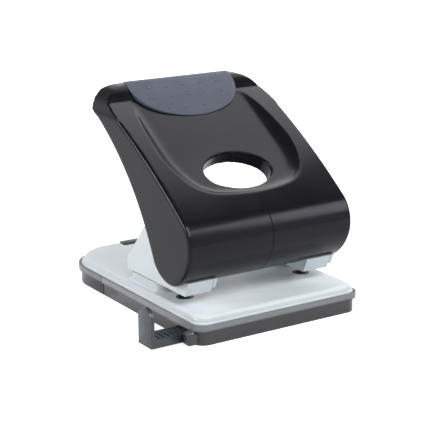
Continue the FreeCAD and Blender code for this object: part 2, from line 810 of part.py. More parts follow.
# ---------------------------------------------------------------- handle, in its own frame
def crown_up(along):
    """Height of the crowned panel over a place along the handle."""
    reach = S["panel_crown_radius"] - S["nose_radius"]
    offset = S["panel_crown_along"] - S["nose_centre_along"]
    centre_up = S["nose_centre_rise"] - root(square(reach) - square(offset))
    return centre_up + root(square(S["panel_crown_radius"]) - square(along - S["panel_crown_along"]))


def roll_front_radius():
    """Radius of the roll's front, from the valley before it up to its top."""
    run = S["roll_along"] - S["roll_valley_along"]
    drop = S["roll_rise"] + S["roll_radius"] - crown_up(S["roll_valley_along"])
    return (square(run) + square(drop)) / (drop * 2)


def outer_profile():
    """Side view of the handle as (along, up), from the roll over the panel and round the nose."""
    roll = S["roll_radius"]
    roll_top = S["roll_rise"] + roll
    valley = S["roll_valley_along"]
    nose_along = S["nose_centre_along"]
    nose_up = S["nose_centre_rise"]
    share = S["nose_radius"] / (S["panel_crown_radius"] - S["nose_radius"])
    join_along = nose_along - (S["panel_crown_along"] - nose_along) * share
    turn_along = nose_along - root(square(S["nose_radius"]) - square(S["chin_turn"]))
    return [
        (S["roll_along"] + roll, S["roll_rise"], roll),
        (S["roll_along"], roll_top, roll_front_radius()),
        (valley, crown_up(valley), S["panel_crown_radius"]),
        (join_along, crown_up(join_along), S["nose_radius"]),
        (turn_along, nose_up + S["chin_turn"], S["chin_radius"]),
        (-S["chin_along"], -S["chin_drop"], S["heel_radius"]),
        (-S["heel_along"], -S["heel_drop"], S["tail_radius"]),
        (S["tail_along"], -S["tail_drop"], -S["back_edge_radius"]),
        (S["roll_along"], S["roll_rise"] - S["back_end_drop"]),
    ]


def upright(item, along_y=0.0, along_z=0.0):
    """Stand a tool upright again inside the handle's tipped frame."""
    item.Placement = FreeCAD.Placement(Vector(), FreeCAD.Rotation(Vector(-1, 0, 0), SIZES["handle_slope"]))
    bind(item, "Placement.Rotation.Angle", S["handle_slope"])
    move(item, 0.0, along_y, along_z)


def rounded_ends(name, solid, inset):
    """Crown the roll and round off its ends, as seen from the front."""
    slope = S["handle_slope"]
    half = handle_half_width - inset
    corner = S["roll_corner_radius"] - inset
    crown = S["roll_crown_radius"]
    roll_top = (S["roll_along"] * sine(slope) + S["roll_rise"] * cosine(slope) + S["roll_radius"] - inset)
    shoulder_up = roll_top - crown + root(square(crown) - square(half - corner))
    low = S["roll_along"] * -1.0
    mask = new_body(name + "_mask")
    pad(mask, name + "_view", "XZ_Plane",
        [(-half, low), (half, low), (half, shoulder_up - corner, corner), (half - corner, shoulder_up, crown),
         (corner - half, shoulder_up, corner), (-half, shoulder_up - corner)],
        0.0, S["roll_along"] * 4, symmetric=True)
    upright(mask)
    both = doc.addObject("Part::Common", name)
    both.Base = solid
    both.Tool = mask
    return both


def oval(extra):
    """Finger hole's outline of four arcs, grown by an extra width."""
    half = S["hole_width"] / 2
    side = S["hole_height"] / 2
    end = S["hole_end_radius"]
    middle = half - end
    long_radius = (square(middle) + square(side) - square(end)) / ((side - end) * 2)
    share = (end + extra) / (long_radius - end)
    join = middle + middle * share
    join_rise = (long_radius - side) * share
    along = S["hole_along"]
    return [(-join, along - join_rise, long_radius + extra), (join, along - join_rise, end + extra),
            (join, along + join_rise, long_radius + extra), (-join, along + join_rise, end + extra)]


def build_recess():
    """Tool for the dished recess: a U in plan whose sides curve up from its floor."""
    body = new_body("recess")
    reach = S["recess_half_width"]
    bottom = S["recess_bottom_half"]
    bottom_radius = S["recess_bottom_radius"]
    bottom_up = S["recess_bottom"] + bottom_radius - root(square(bottom_radius) - square(bottom))
    bend = S["recess_bend_half"]
    end = S["recess_end"]
    corner = S["recess_end_radius"]
    block = pad(body, "u_outline", "XY_Plane",
                [(-bottom, bottom_up, bottom_radius), (bottom, bottom_up, S["recess_bend_radius"]),
                 (bend, S["recess_bend_along"], S["recess_side_radius"]), (reach, S["recess_side_along"]),
                 (reach, end - corner, corner), (reach - corner, end), (corner - reach, end, corner),
                 (-reach, end - corner), (-reach, S["recess_side_along"], S["recess_side_radius"]),
                 (-bend, S["recess_bend_along"], S["recess_bend_radius"])],
                S["recess_floor_rise"], S["recess_blend"] * 2)
    floor_face = min(range(len(block.Shape.Faces)), key=lambda i: block.Shape.Faces[i].CenterOfMass.z)
    blend = body.newObject("PartDesign::Fillet", "dished_sides")
    blend.Base = (block, ["Face%d" % (floor_face + 1)])
    blend.Radius = SIZES["recess_blend"]
    bind(blend, "Radius", S["recess_blend"])
    doc.recompute()
    return body


def build_handle():
    form = new_body("handle_form")
    pad(form, "side_view", "YZ_Plane", outer_profile(), 0.0, handle_half_width * 2, symmetric=True)
    form = rounded_ends("handle_form_rounded", form, size_of(0.0))

    wall = S["handle_wall"]
    nose_along = S["nose_centre_along"]
    nose_up = S["nose_centre_rise"]
    inner_nose = S["nose_radius"] - wall
    roof = panel_underside
    meet = root(square(inner_nose) - square(roof - nose_up))
    inner_share = inner_nose / S["nose_radius"]
    inner_turn = S["chin_turn"] * inner_share
    inner_turn_along = nose_along - root(square(inner_nose) - square(inner_turn))
    inner_roll = S["roll_radius"] - wall
    lip_low = S["tail_drop"] * -2.0
    mouth = S["roll_rise"] - S["back_end_drop"] - wall / 5
    cavity = new_body("handle_cavity")
    pad(cavity, "inside_view", "YZ_Plane",
        [(S["roll_along"], roof),
         (nose_along - meet, roof, inner_nose),
         (inner_turn_along, nose_up + inner_turn, S["chin_radius"] - wall),
         (-S["lip_end_along"], -S["chin_drop"] - 1.0),
         (-S["lip_end_along"], lip_low),
         (S["roll_along"] * 1.2, lip_low),
         (S["roll_along"] * 1.2, mouth),
         (S["roll_along"] + inner_roll, mouth),
         (S["roll_along"] + inner_roll, roof - inner_roll, inner_roll)],
        0.0, cavity_half_width * 2, symmetric=True)
    cavity = rounded_ends("handle_cavity_rounded", cavity, wall)

    floor_up = S["recess_floor_rise"]
    collar = new_body("hole_collar")
    pad(collar, "collar", "XY_Plane", oval(S["collar_wall"]), floor_up - S["collar_depth"], S["collar_depth"])
    hole = new_body("finger_hole")
    pad(hole, "hole", "XY_Plane", oval(size_of(0.0)), 0.0, S["panel_crown_along"] * 2, symmetric=True)
    shell = cut("hollow_handle", form, cavity)
    shell = cut("recessed_handle", shell, build_recess())
    shell = fuse("collared_handle", [shell, collar])
    tools = fuse("handle_cuts", [hole, build_tower_notches(), build_screw_tools("hole", S["rivet_clearance"])])
    shell = cut("handle_shell_solid", shell, tools)
    tip_up(shell)
    finish(shell, "handle_shell")


def build_tower_notches():
    """Air round each tower's front web, taken from the handle's lower lip."""
    up = throat_top + S["web_height"] + S["tower_notch_rise"]
    boxes = []
    for side in (-1, 1):
        box = doc.addObject("Part::Box", "notch_box")
        bind(box, "Length", S["tower_width"] + S["tower_notch_gap"] * 2)
        bind(box, "Width", S["tower_front"])
        bind(box, "Height", up)
        near = side * S["pin_pitch"] / 2 - S["tower_width"] / 2 - S["tower_notch_gap"]
        move(box, near, -S["tower_front"] * 1.5 - pivot_place, -S["pivot_height"])
        boxes.append(box)
    both = fuse("notch_boxes", boxes)
    upright(both)
    return both


def screw_places():
    """Screws that hold the lever under the panel, as (x, along)."""
    across = lever_arm_far - S["screw_head_radius"] - S["screw_edge"]
    return [(side * across, along) for side in (-1, 1)
            for along in (S["screw_low_along"], S["screw_high_along"])]


def build_screw_tools(kind, extra):
    """Screw shanks as plain rods, to cut their holes."""
    low = panel_underside - S["lever_sheet"]
    rods = [cylinder("rod_" + kind, S["screw_radius"] + extra, S["lever_sheet"] + S["screw_grip"],
                     (place[0], place[1], low)) for place in screw_places()]
    return fuse("rods_" + kind, rods)


def build_grip_pad():
    """Soft pad that fills the valley before the roll and wraps over the roll's top."""
    gap = S["pad_seat_gap"]
    seat = S["roll_radius"] + gap
    over = seat + S["pad_thickness"]
    slope = S["handle_slope"]
    along = S["roll_along"]
    centre_up = S["roll_rise"]
    floor_up = S["recess_floor_rise"] + gap
    tip = S["pad_tip_along"] - S["pad_thickness"]
    rise = centre_up + over - floor_up - S["pad_thickness"]
    run = along - tip
    top_radius = (square(run) + square(rise)) / (rise * 2)
    valley = S["roll_valley_along"]
    wrap = new_body("pad_wrap")
    pad(wrap, "pad_section", "YZ_Plane",
        [(tip, floor_up), (valley, floor_up, -roll_front_radius()), (along, centre_up + seat, -seat),
         (along + seat * sine(slope), centre_up + seat * cosine(slope)),
         (along + over * sine(slope), centre_up + over * cosine(slope), over),
         (along, centre_up + over, top_radius),
         (tip, floor_up + S["pad_thickness"])],
        0.0, S["pad_half_width"] * 2.2, symmetric=True)
    plan = new_body("pad_plan")
    reach = S["pad_half_width"]
    side = S["pad_side_half"]
    side_radius = S["pad_side_radius"]
    tip_radius = S["pad_tip_radius"]
    side_up = S["pad_tip_along"] + tip_radius - root(square(tip_radius) - square(side))
    top_up = side_up + root(square(side_radius) - square(side_radius - reach + side))
    end = along + S["roll_radius"] * 2
    pad(plan, "d_outline", "XY_Plane",
        [(-side, side_up, tip_radius), (side, side_up, side_radius), (reach, top_up), (reach, end),
         (-reach, end), (-reach, top_up, side_radius)],
        0.0, S["panel_crown_along"] * 2, symmetric=True)
    item = doc.addObject("Part::Common", "grip_pad_solid")
    item.Base = wrap
    item.Tool = plan
    tip_up(item)
    finish(item, "grip_pad")


def build_lever():
    """Steel fork under the panel: two arms over the towers, a bridge, and two ears down each arm."""
    thick = S["lever_sheet"]
    low = panel_underside - thick
    arm_near = lever_arm_near
    arm_far = lever_arm_far
    body = new_body("lever_frame")
    pad(body, "fork", "XY_Plane",
        [(-arm_far, S["ear_root_low"]), (-arm_near, S["ear_root_low"]), (-arm_near, S["bridge_low"]),
         (arm_near, S["bridge_low"]), (arm_near, S["ear_root_low"]), (arm_far, S["ear_root_low"]),
         (arm_far, S["bridge_high"]), (-arm_far, S["bridge_high"])], low, thick)
    eye = S["ear_radius"]
    nose = S["ear_bar_radius"]
    for side in (-1, 1):
        for near in (arm_near, arm_far - S["ear_sheet"]):
            start = near if side > 0 else -near - S["ear_sheet"]
            pad(body, "ear", "YZ_Plane",
                [(S["ear_root_low"], low + thick / 2), (-eye, 0.0, eye), (0.0, -eye),
                 (bar_along, bar_rise - nose, nose), (bar_along + nose, bar_rise),
                 (S["ear_root_high"], low + thick / 2)],
                start, S["ear_sheet"])
    drill(body, "axle_bores", "YZ_Plane", [(0.0, 0.0)], S["axle_radius"] + S["axle_fit"], 0.0,
          handle_half_width * 2, symmetric=True)
    drill(body, "bar_holes", "YZ_Plane", [(bar_along, bar_rise)], S["bar_radius"] + S["rivet_clearance"],
          0.0, handle_half_width * 2, symmetric=True)
    drill(body, "screw_holes", "XY_Plane", screw_places(), S["screw_radius"] + S["rivet_clearance"],
          low, thick * 4, symmetric=True)
    tip_up(body)
    finish(body, "lever_frame")
    bars = []
    for start in (-arm_far, arm_near):
        bars.append(cylinder("bar", S["bar_radius"], arm_far - arm_near, (start, bar_along, bar_rise),
                             turned=True))
    tip_up(group("press_bars", bars))
    screws = []
    for place in screw_places():
        shank = cylinder("screw_shank", S["screw_radius"], thick + S["screw_grip"] - S["rivet_clearance"],
                         (place[0], place[1], low))
        head = cylinder("screw_head", S["screw_head_radius"], S["screw_head_height"],
                        (place[0], place[1], low - S["screw_head_height"]))
        screws.append(fuse("screw", [shank, head]))
    tip_up(group("handle_screws", screws))


# ---------------------------------------------------------------- build, check and write
build_base_plate()
build_tray()
build_guide()
for which, label in ((-1, "left"), (1, "right")):
    build_tower(which, label)
    build_punch(which, label)
build_tower_rivets()
build_axle()
build_lever()
build_handle()
build_grip_pad()
doc.recompute()

for item in doc.Objects:
    if "Invalid" in item.State or "Error" in item.State:
        raise RuntimeError("%s is %s" % (item.Label, item.State))
for item in nodes:
    if item.Shape.isNull() or not item.Shape.isValid() or not item.Shape.Solids:
        raise RuntimeError("%s has no sound solid" % item.Label)

os.makedirs("parts", exist_ok=True)
for item in nodes:
    item.Shape.exportStep("parts/%s.step" % item.Label)
    print("%-18s solids %d volume %.1f" % (item.Label, len(item.Shape.Solids), item.Shape.Volume))
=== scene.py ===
"""Two-hole lever punch: finished pieces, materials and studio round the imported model."""

import json
from math import asin, cos, degrees, hypot, radians, sin, sqrt

import bmesh
import bpy
from bpy.props import FloatProperty, FloatVectorProperty, IntProperty, PointerProperty
from mathutils import Matrix, Vector


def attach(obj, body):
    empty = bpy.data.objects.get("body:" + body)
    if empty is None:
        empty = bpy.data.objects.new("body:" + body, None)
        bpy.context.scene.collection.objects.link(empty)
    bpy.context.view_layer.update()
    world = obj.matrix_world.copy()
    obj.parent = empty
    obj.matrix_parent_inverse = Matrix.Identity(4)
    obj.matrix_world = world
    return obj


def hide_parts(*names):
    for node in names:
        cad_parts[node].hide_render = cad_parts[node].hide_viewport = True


bl_info = {
    "name": "Lever punch builder",
    "version": (1, 0, 0),
    "blender": (4, 5, 0),
    "location": "View3D > Sidebar > Punch",
    "description": "Models and finishes a two-hole lever punch piece by piece",
    "category": "Object",
}

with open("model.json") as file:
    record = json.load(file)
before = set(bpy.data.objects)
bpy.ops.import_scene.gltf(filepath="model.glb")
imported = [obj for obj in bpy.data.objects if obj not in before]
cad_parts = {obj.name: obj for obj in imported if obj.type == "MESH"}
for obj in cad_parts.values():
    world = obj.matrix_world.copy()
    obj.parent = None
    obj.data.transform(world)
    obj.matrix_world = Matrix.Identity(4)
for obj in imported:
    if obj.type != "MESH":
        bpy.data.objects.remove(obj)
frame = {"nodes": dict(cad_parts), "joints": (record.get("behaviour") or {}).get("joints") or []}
NODES = frame["nodes"]
JOINTS = {joint["name"]: joint for joint in frame["joints"]}
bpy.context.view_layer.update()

# Lengths are in millimetres, up to as_object, which makes them metres.
MM = 0.001
NEAR = 1e-3  # heights nearer than this are the same
MERGE = 1e-4  # points nearer than this are one
AXLE = Vector(JOINTS["handle_hinge"]["pos_m"]) * 1000.0
PIN_ACROSS, PIN_PLACE = 40.0, -39.0  # a pin's place, across from the middle and along
TOWER_HALF = 9.55  # half of a tower's width
NOSE_ALONG, NOSE_RISE = 7.0, 2.0  # middle of the rounded nose, in the handle's frame
NOSE_TURN = 4.0  # height over that middle where the nose turns into the lower lip
LIP_FRONT = 30.0  # radius of the lower lip's front
FLOOR_HALF = 4000.0  # half of the studio floor's width

# Planes to draw on, each with the direction in which a drawing is raised.
PANEL = ("YZ", Vector((1, 0, 0)))
FLOOR = ("XY", Vector((0, 0, 1)))
FRONT = ("XZ", Vector((0, -1, 0)))

# Heights in metres at which a painted band begins, is full, is still full and has faded out:
# painted shade down the cover's pressed sides and the raised stops, and painted light on the tray's
# rim.
COVER_SIDE_PAINTED_SHADE = (0.0121, 0.0127, 0.0143, 0.0157)
STOP_SIDE_PAINTED_SHADE = (0.0160, 0.0170, 0.0222, 0.0230)
TRAY_RIM_PAINTED_LIGHT = (0.0078, 0.0090, 0.0116, 0.0121)


# ------------------------------------------------------------------ sizes and colours
def size(name, description, default, low=0.0, high=400.0):
    """A length in millimetres."""
    return FloatProperty(name=name, description=description, default=default, min=low, max=high)


def colour(name, description, default):
    """A colour of one finish."""
    return FloatVectorProperty(name=name, description=description, default=default,
                               subtype="COLOR", size=3, min=0.0, max=1.0)


def strength(name, description, default):
    """How bright a lamp or the sky is."""
    return FloatProperty(name=name, description=description, default=default, min=0.0)


class PUNCH_PG_handle(bpy.types.PropertyGroup):
    """Sizes of the handle moulding, in its own frame on the axle."""
    slope: FloatProperty(name="Slope", description="Tilt of the panel at rest",
                         default=radians(32.9), subtype="ANGLE")
    width: size("Width", "Over the side walls, in mm", 109.0)
    wall: size("Wall", "Thickness of the moulding, in mm", 2.5)
    crown: size("Panel crown", "Radius of the panel's crown along the handle, in mm",
                425.0, 50.0, 2000.0)
    crown_along: size("Crown place", "Distance of the crown's peak from the axle, in mm", 43.0)
    nose: size("Nose radius", "Radius of the rounded front, in mm", 19.3)
    roll: size("Roll radius", "Radius of the rolled end, in mm", 8.0)
    roll_along: size("Roll place", "Distance of the roll's middle from the axle, in mm", 111.9)
    roll_rise: size("Roll rise", "Height of the roll's middle above the axle, in mm", 13.0)
    valley: size("Valley place", "Where the panel meets the roll, in mm from the axle", 101.7)
    corner: size("Roll corner", "Rounding of the roll's ends, in mm", 16.5)
    roll_crown: size("Roll crown", "Radius of the roll's top seen from the front, in mm",
                     800.0, 100.0, 5000.0)
    floor: size("Recess floor", "Height of the recess floor above the axle, in mm", 19.0)
    blend: size("Recess blend", "Radius of the recess's dished sides, in mm", 15.0)
    hole_width: size("Hole width", "Finger hole across, in mm", 43.0)
    hole_height: size("Hole height", "Finger hole along, in mm", 28.6)
    hole_end: size("Hole end radius", "Radius of the hole's ends, in mm", 10.5)
    hole_along: size("Hole place", "Distance of the hole's middle from the axle, in mm", 37.2)
    collar: size("Collar depth", "Depth of the collar inside the hole, in mm", 8.5)
    pad_rise: size("Pad thickness", "Height of the pad over the roll, in mm", 0.35)
    line: size("Centre line", "Depth of the moulded line down the nose, in mm", 0.34)
    crease: size("Crease", "Rounding between the panel and the side walls, in mm", 1.6)
    dish: size("Dish", "Radius of the recess floor's upturned front, in mm",
               700.0, 50.0, 5000.0)
    voxel: size("Skin detail", "Cell size of the smoothed skin, in mm", 0.76)
    soften: IntProperty(name="Softening", description="Smoothing passes over the skin",
                        default=4, min=0)


class PUNCH_PG_base(bpy.types.PropertyGroup):
    """Sizes of the base's cover and of the tray under it."""
    width: size("Plate width", "Across the cover, in mm", 107.0)
    depth: size("Plate depth", "Front to back of the cover, in mm", 149.2)
    rise: size("Plate rise", "Height of the cover above the tray, in mm", 4.3)
    edge: size("Rolled edge", "Rounding of the cover's edge, in mm", 2.2)
    draft: size("Draft", "Slope of the cover's sides, in mm", 0.9)
    flange: size("Flange", "How far the cover's foot stands out, in mm", 0.5)
    front_corner: size("Front corner", "Radius in plan, in mm", 7.5)
    rear_corner: size("Rear corner", "Radius in plan, in mm", 25.0)
    sheet: size("Sheet", "Thickness of the cover, in mm", 1.5)
    tray_top: size("Tray top", "Height of the tray's lip, in mm", 11.5)
    skirt: size("Skirt", "Height of the skirt under the lip, in mm", 8.0)


class PUNCH_PG_finish(bpy.types.PropertyGroup):
    """Colours of the finishes."""
    plate: colour("Plate paint", "Light grey enamel of the cover", (0.635, 0.69, 0.72))
    # Painted shade: a darker enamel colour for the cover's rolled edge and the raised stops,
    # standing in for the shade there.
    plate_painted_shade: colour("Plate edge", "Deeper shade of the enamel down the cover's edge and stops",
                       (0.45, 0.49, 0.515))
    tower: colour("Tower paint", "Light grey enamel of the towers", (0.50, 0.55, 0.58))
    handle: colour("Handle plastic", "Black moulding", (0.004, 0.004, 0.005))
    pad: colour("Pad", "Blue-grey soft pad", (0.058, 0.068, 0.095))
    tray: colour("Tray plastic", "Smoke-grey tray", (0.045, 0.045, 0.052))
    # Painted light: a lighter colour on the tray's lip, standing in for the light that the thick
    # rim gathers.
    rim: colour("Tray rim", "Lighter rim of the tray", (0.20, 0.21, 0.225))
    guide: colour("Guide plastic", "Blue-grey paper guide", (0.024, 0.032, 0.044))
    steel: colour("Steel", "Bright steel", (0.62, 0.62, 0.64))
    # Painted shade: the dies' steel is given a dark colour, standing in for the shade under the
    # towers.
    die: colour("Dies", "Blackened tool steel", (0.10, 0.10, 0.11))
    zinc: colour("Zinc", "Zinc-plated steel", (0.50, 0.52, 0.54))
    rubber: colour("Rubber", "Black rubber", (0.02, 0.02, 0.02))


class PUNCH_PG_stage(bpy.types.PropertyGroup):
    """Lamps and camera."""
    ambient: strength("Ambient", "Strength of the soft sky", 0.22)
    top: strength("Top lamp", "Power of the lamp overhead", 4.0)
    key: strength("Key lamp", "Power of the lamp at the front", 11.0)
    side: strength("Side lamp", "Power of the lamp at the left", 10.0)
    fill: strength("Fill lamp", "Power of the lamp at the front right", 3.6)
    rear: strength("Rear lamp", "Power of the lamp behind", 0.8)
    lens: FloatProperty(name="Lens", description="Focal length", default=111.81,
                        subtype="DISTANCE_CAMERA")


# ------------------------------------------------------------------ drawing and solids
def of_kind(parts, kind):
    """The vertices, edges or faces among an operator's results."""
    return [part for part in parts if isinstance(part, kind)]


def level(height):
    """A test for an edge or a face that lies flat at one height."""
    return lambda part: all(abs(vert.co.z - height) < NEAR for vert in part.verts)


def everything(mesh):
    """All that an operator can cut or merge."""
    return mesh.verts[:] + mesh.edges[:] + mesh.faces[:]


def extrude(mesh, faces):
    """Extrude faces and drop the old ones; gives the new faces and their vertices."""
    made = bmesh.ops.extrude_face_region(mesh, geom=faces)["geom"]
    bmesh.ops.delete(mesh, geom=faces, context="FACES_ONLY")
    return of_kind(made, bmesh.types.BMFace), of_kind(made, bmesh.types.BMVert)


class Outline:
    """A closed outline in millimetres on one plane, drawn by lines and spun arcs."""

    def __init__(self, plane, a, b):
        self.name, self.normal = plane
        self.mesh = bmesh.new()
        self.start = self.mesh.verts.new(self.place(a, b))
        self.tip = self.start

    def place(self, a, b):
        """A point of the page in space."""
        return Vector({"YZ": (0, a, b), "XY": (a, b, 0), "XZ": (a, 0, b)}[self.name])

    def page(self, co):
        """A point in space on the page."""
        return {"YZ": (co.y, co.z), "XY": (co.x, co.y), "XZ": (co.x, co.z)}[self.name]

    def line(self, a, b):
        """Straight from the tip to (a, b)."""
        vert = self.mesh.verts.new(self.place(a, b))
        self.mesh.edges.new((self.tip, vert))
        self.tip = vert
        return self

    def arc(self, a, b, angle, steps=24):
        """Turn about the centre (a, b), in degrees; positive is anticlockwise on the page."""
        made = bmesh.ops.spin(self.mesh, geom=[self.tip], cent=self.place(a, b), axis=self.normal,
                              angle=radians(angle), steps=steps, use_merge=False)
        self.tip = of_kind(made["geom_last"], bmesh.types.BMVert)[0]
        return self

    def bow(self, a, b, radius, steps=24):
        """Arc from the tip to (a, b); a positive radius turns left, a negative one right."""
        u, v = self.page(self.tip.co)
        da, db = a - u, b - v
        chord = hypot(da, db)
        turn = 2 * asin(min(1.0, chord / 2 / abs(radius)))
        rise = sqrt(max(0.0, radius * radius - chord * chord / 4))
        way = 1 if radius > 0 else -1
        middle = ((u + a) / 2 - db / chord * rise * way, (v + b) / 2 + da / chord * rise * way)
        self.arc(*middle, degrees(turn) * way, steps)
        self.tip.co = self.place(a, b)
        return self

    def solid(self, low, high):
        """Close the outline and raise it from one height to another along the plane's normal."""
        mesh = self.mesh
        if (self.tip.co - self.start.co).length > MERGE:
            mesh.edges.new((self.tip, self.start))
        bmesh.ops.remove_doubles(mesh, verts=mesh.verts[:], dist=MERGE)
        bmesh.ops.contextual_create(mesh, geom=mesh.edges[:])
        bmesh.ops.translate(mesh, verts=mesh.verts[:], vec=self.normal * low)
        raised = bmesh.ops.extrude_face_region(mesh, geom=mesh.faces[:])
        top = of_kind(raised["geom"], bmesh.types.BMVert)
        bmesh.ops.translate(mesh, verts=top, vec=self.normal * (high - low))
        bmesh.ops.recalc_face_normals(mesh, faces=mesh.faces[:])
        return mesh


def rounded_plan(half, deep, front, rear, middle=0.0):
    """Plan of half width and half depth, with the radii of its front and rear corners."""
    low, high, steps = middle - deep, middle + deep, 14
    plan = Outline(FLOOR, front - half, low)
    plan.line(half - front, low).arc(half - front, low + front, 90, steps)
    plan.line(half, high - rear).arc(half - rear, high - rear, 90, steps)
    plan.line(rear - half, high).arc(rear - half, high - rear, 90, steps)
    plan.line(-half, low + front).arc(front - half, low + front, 90, steps)
    return plan


def block(low, high):
    """A box between two corners, in millimetres."""
    mesh = bmesh.new()
    bmesh.ops.create_cube(mesh, size=1.0)
    span = Vector(high) - Vector(low)
    bmesh.ops.scale(mesh, vec=span, verts=mesh.verts[:])
    bmesh.ops.translate(mesh, vec=(Vector(high) + Vector(low)) / 2, verts=mesh.verts[:])
    return mesh


def rod(radius, start, end):
    """A round bar between two points, in millimetres."""
    mesh = bmesh.new()
    start, end = Vector(start), Vector(end)
    bmesh.ops.create_cone(mesh, cap_ends=True, segments=48, radius1=radius, radius2=radius,
                          depth=(end - start).length)
    turn = Vector((0, 0, 1)).rotation_difference((end - start).normalized()).to_matrix()
    bmesh.ops.rotate(mesh, cent=(0, 0, 0), matrix=turn, verts=mesh.verts[:])
    bmesh.ops.translate(mesh, vec=(start + end) / 2, verts=mesh.verts[:])
    return mesh


def soften_edges(mesh, test, radius, segments, clamp=True):
    """Round the edges that pass a test."""
    edges = [edge for edge in mesh.edges if test(edge)]
    bmesh.ops.bevel(mesh, geom=edges, offset=radius, offset_type="OFFSET", affect="EDGES",
                    segments=segments, profile=0.5, material=-1, clamp_overlap=clamp)


def load(*items):
    """The meshes of one or more objects, together in one drawing."""
    mesh = bmesh.new()
    for item in items:
        mesh.from_mesh(item.data)
    return mesh


def store(mesh, item):
    """Put a drawing in metres into an object."""
    mesh.to_mesh(item.data)
    mesh.free()


def discard(item):
    """Remove an object and its mesh."""
    data = item.data
    bpy.data.objects.remove(item)
    bpy.data.meshes.remove(data)


def as_object(name, mesh):
    """Turn a drawing in millimetres into an object in metres."""
    bmesh.ops.scale(mesh, vec=(MM, MM, MM), verts=mesh.verts[:])
    item = bpy.data.objects.new(name, bpy.data.meshes.new(name))
    store(mesh, item)
    bpy.context.scene.collection.objects.link(item)
    return item


def take_mesh(item):
    """An object's mesh as a drawing in millimetres again."""
    mesh = load(item)
    bmesh.ops.scale(mesh, vec=(1000, 1000, 1000), verts=mesh.verts[:])
    discard(item)
    return mesh


def join(item, other):
    """Add another object's mesh to the first."""
    store(load(item, other), item)
    discard(other)


def settle(item):
    """Apply an object's modifiers to its mesh."""
    graph = bpy.context.evaluated_depsgraph_get()
    graph.update()
    data = bpy.data.meshes.new_from_object(item.evaluated_get(graph))
    item.modifiers.clear()
    old = item.data
    item.data = data
    bpy.data.meshes.remove(old)
    data.name = item.name


def carve(item, mesh, operation="DIFFERENCE"):
    """Cut, join or keep the overlap with another solid."""
    tool = as_object("tool", mesh)
    step = item.modifiers.new("carve", "BOOLEAN")
    step.operation = operation
    step.solver = "EXACT"
    step.object = tool
    settle(item)
    discard(tool)


def smooth_skin(item, voxel, passes):
    """Even skin laid back on the drawn form, with softly rounded edges."""
    form = bpy.data.objects.new("form", item.data.copy())
    bpy.context.scene.collection.objects.link(form)
    skin = item.modifiers.new("skin", "REMESH")
    skin.mode = "VOXEL"
    skin.voxel_size = voxel * MM
    seat = item.modifiers.new("seat", "SHRINKWRAP")
    seat.wrap_method = "NEAREST_SURFACEPOINT"
    seat.target = form
    relax = item.modifiers.new("relax", "SMOOTH")
    relax.factor = 0.5
    relax.iterations = passes
    settle(item)
    discard(form)


def shade(item, angle):
    """Smooth shading, with sharp edges past an angle in degrees."""
    item.data.shade_smooth()
    if angle < 180.0:
        item.data.set_sharp_from_angle(angle=radians(angle))


def edge_bevel(item, width, segments, angle=40.0):
    """Small rounding along every edge sharper than an angle in degrees."""
    step = item.modifiers.new("edge", "BEVEL")
    step.width = width * MM
    step.segments = segments
    step.limit_method = "ANGLE"
    step.angle_limit = radians(angle)
    step.harden_normals = False
    settle(item)
    shade(item, 35.0)


def tip_up(item, slope):
    """Move a handle piece from the handle's own frame to the punch's frame."""
    item.data.transform(Matrix.Translation(AXLE * MM) @ Matrix.Rotation(slope, 4, "X"))


def upright(mesh, slope):
    """Stand a tool upright inside the handle's tipped frame."""
    turn = Matrix.Rotation(-slope, 3, "X")
    bmesh.ops.rotate(mesh, cent=(0, 0, 0), matrix=turn, verts=mesh.verts[:])
    return mesh


def dress(item, material, body, slot, *nodes):
    """Give a finished piece its material, its body and the nodes that it stands for."""
    item.data.materials.clear()
    item.data.materials.append(material)
    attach(item, body)
    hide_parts(*nodes)


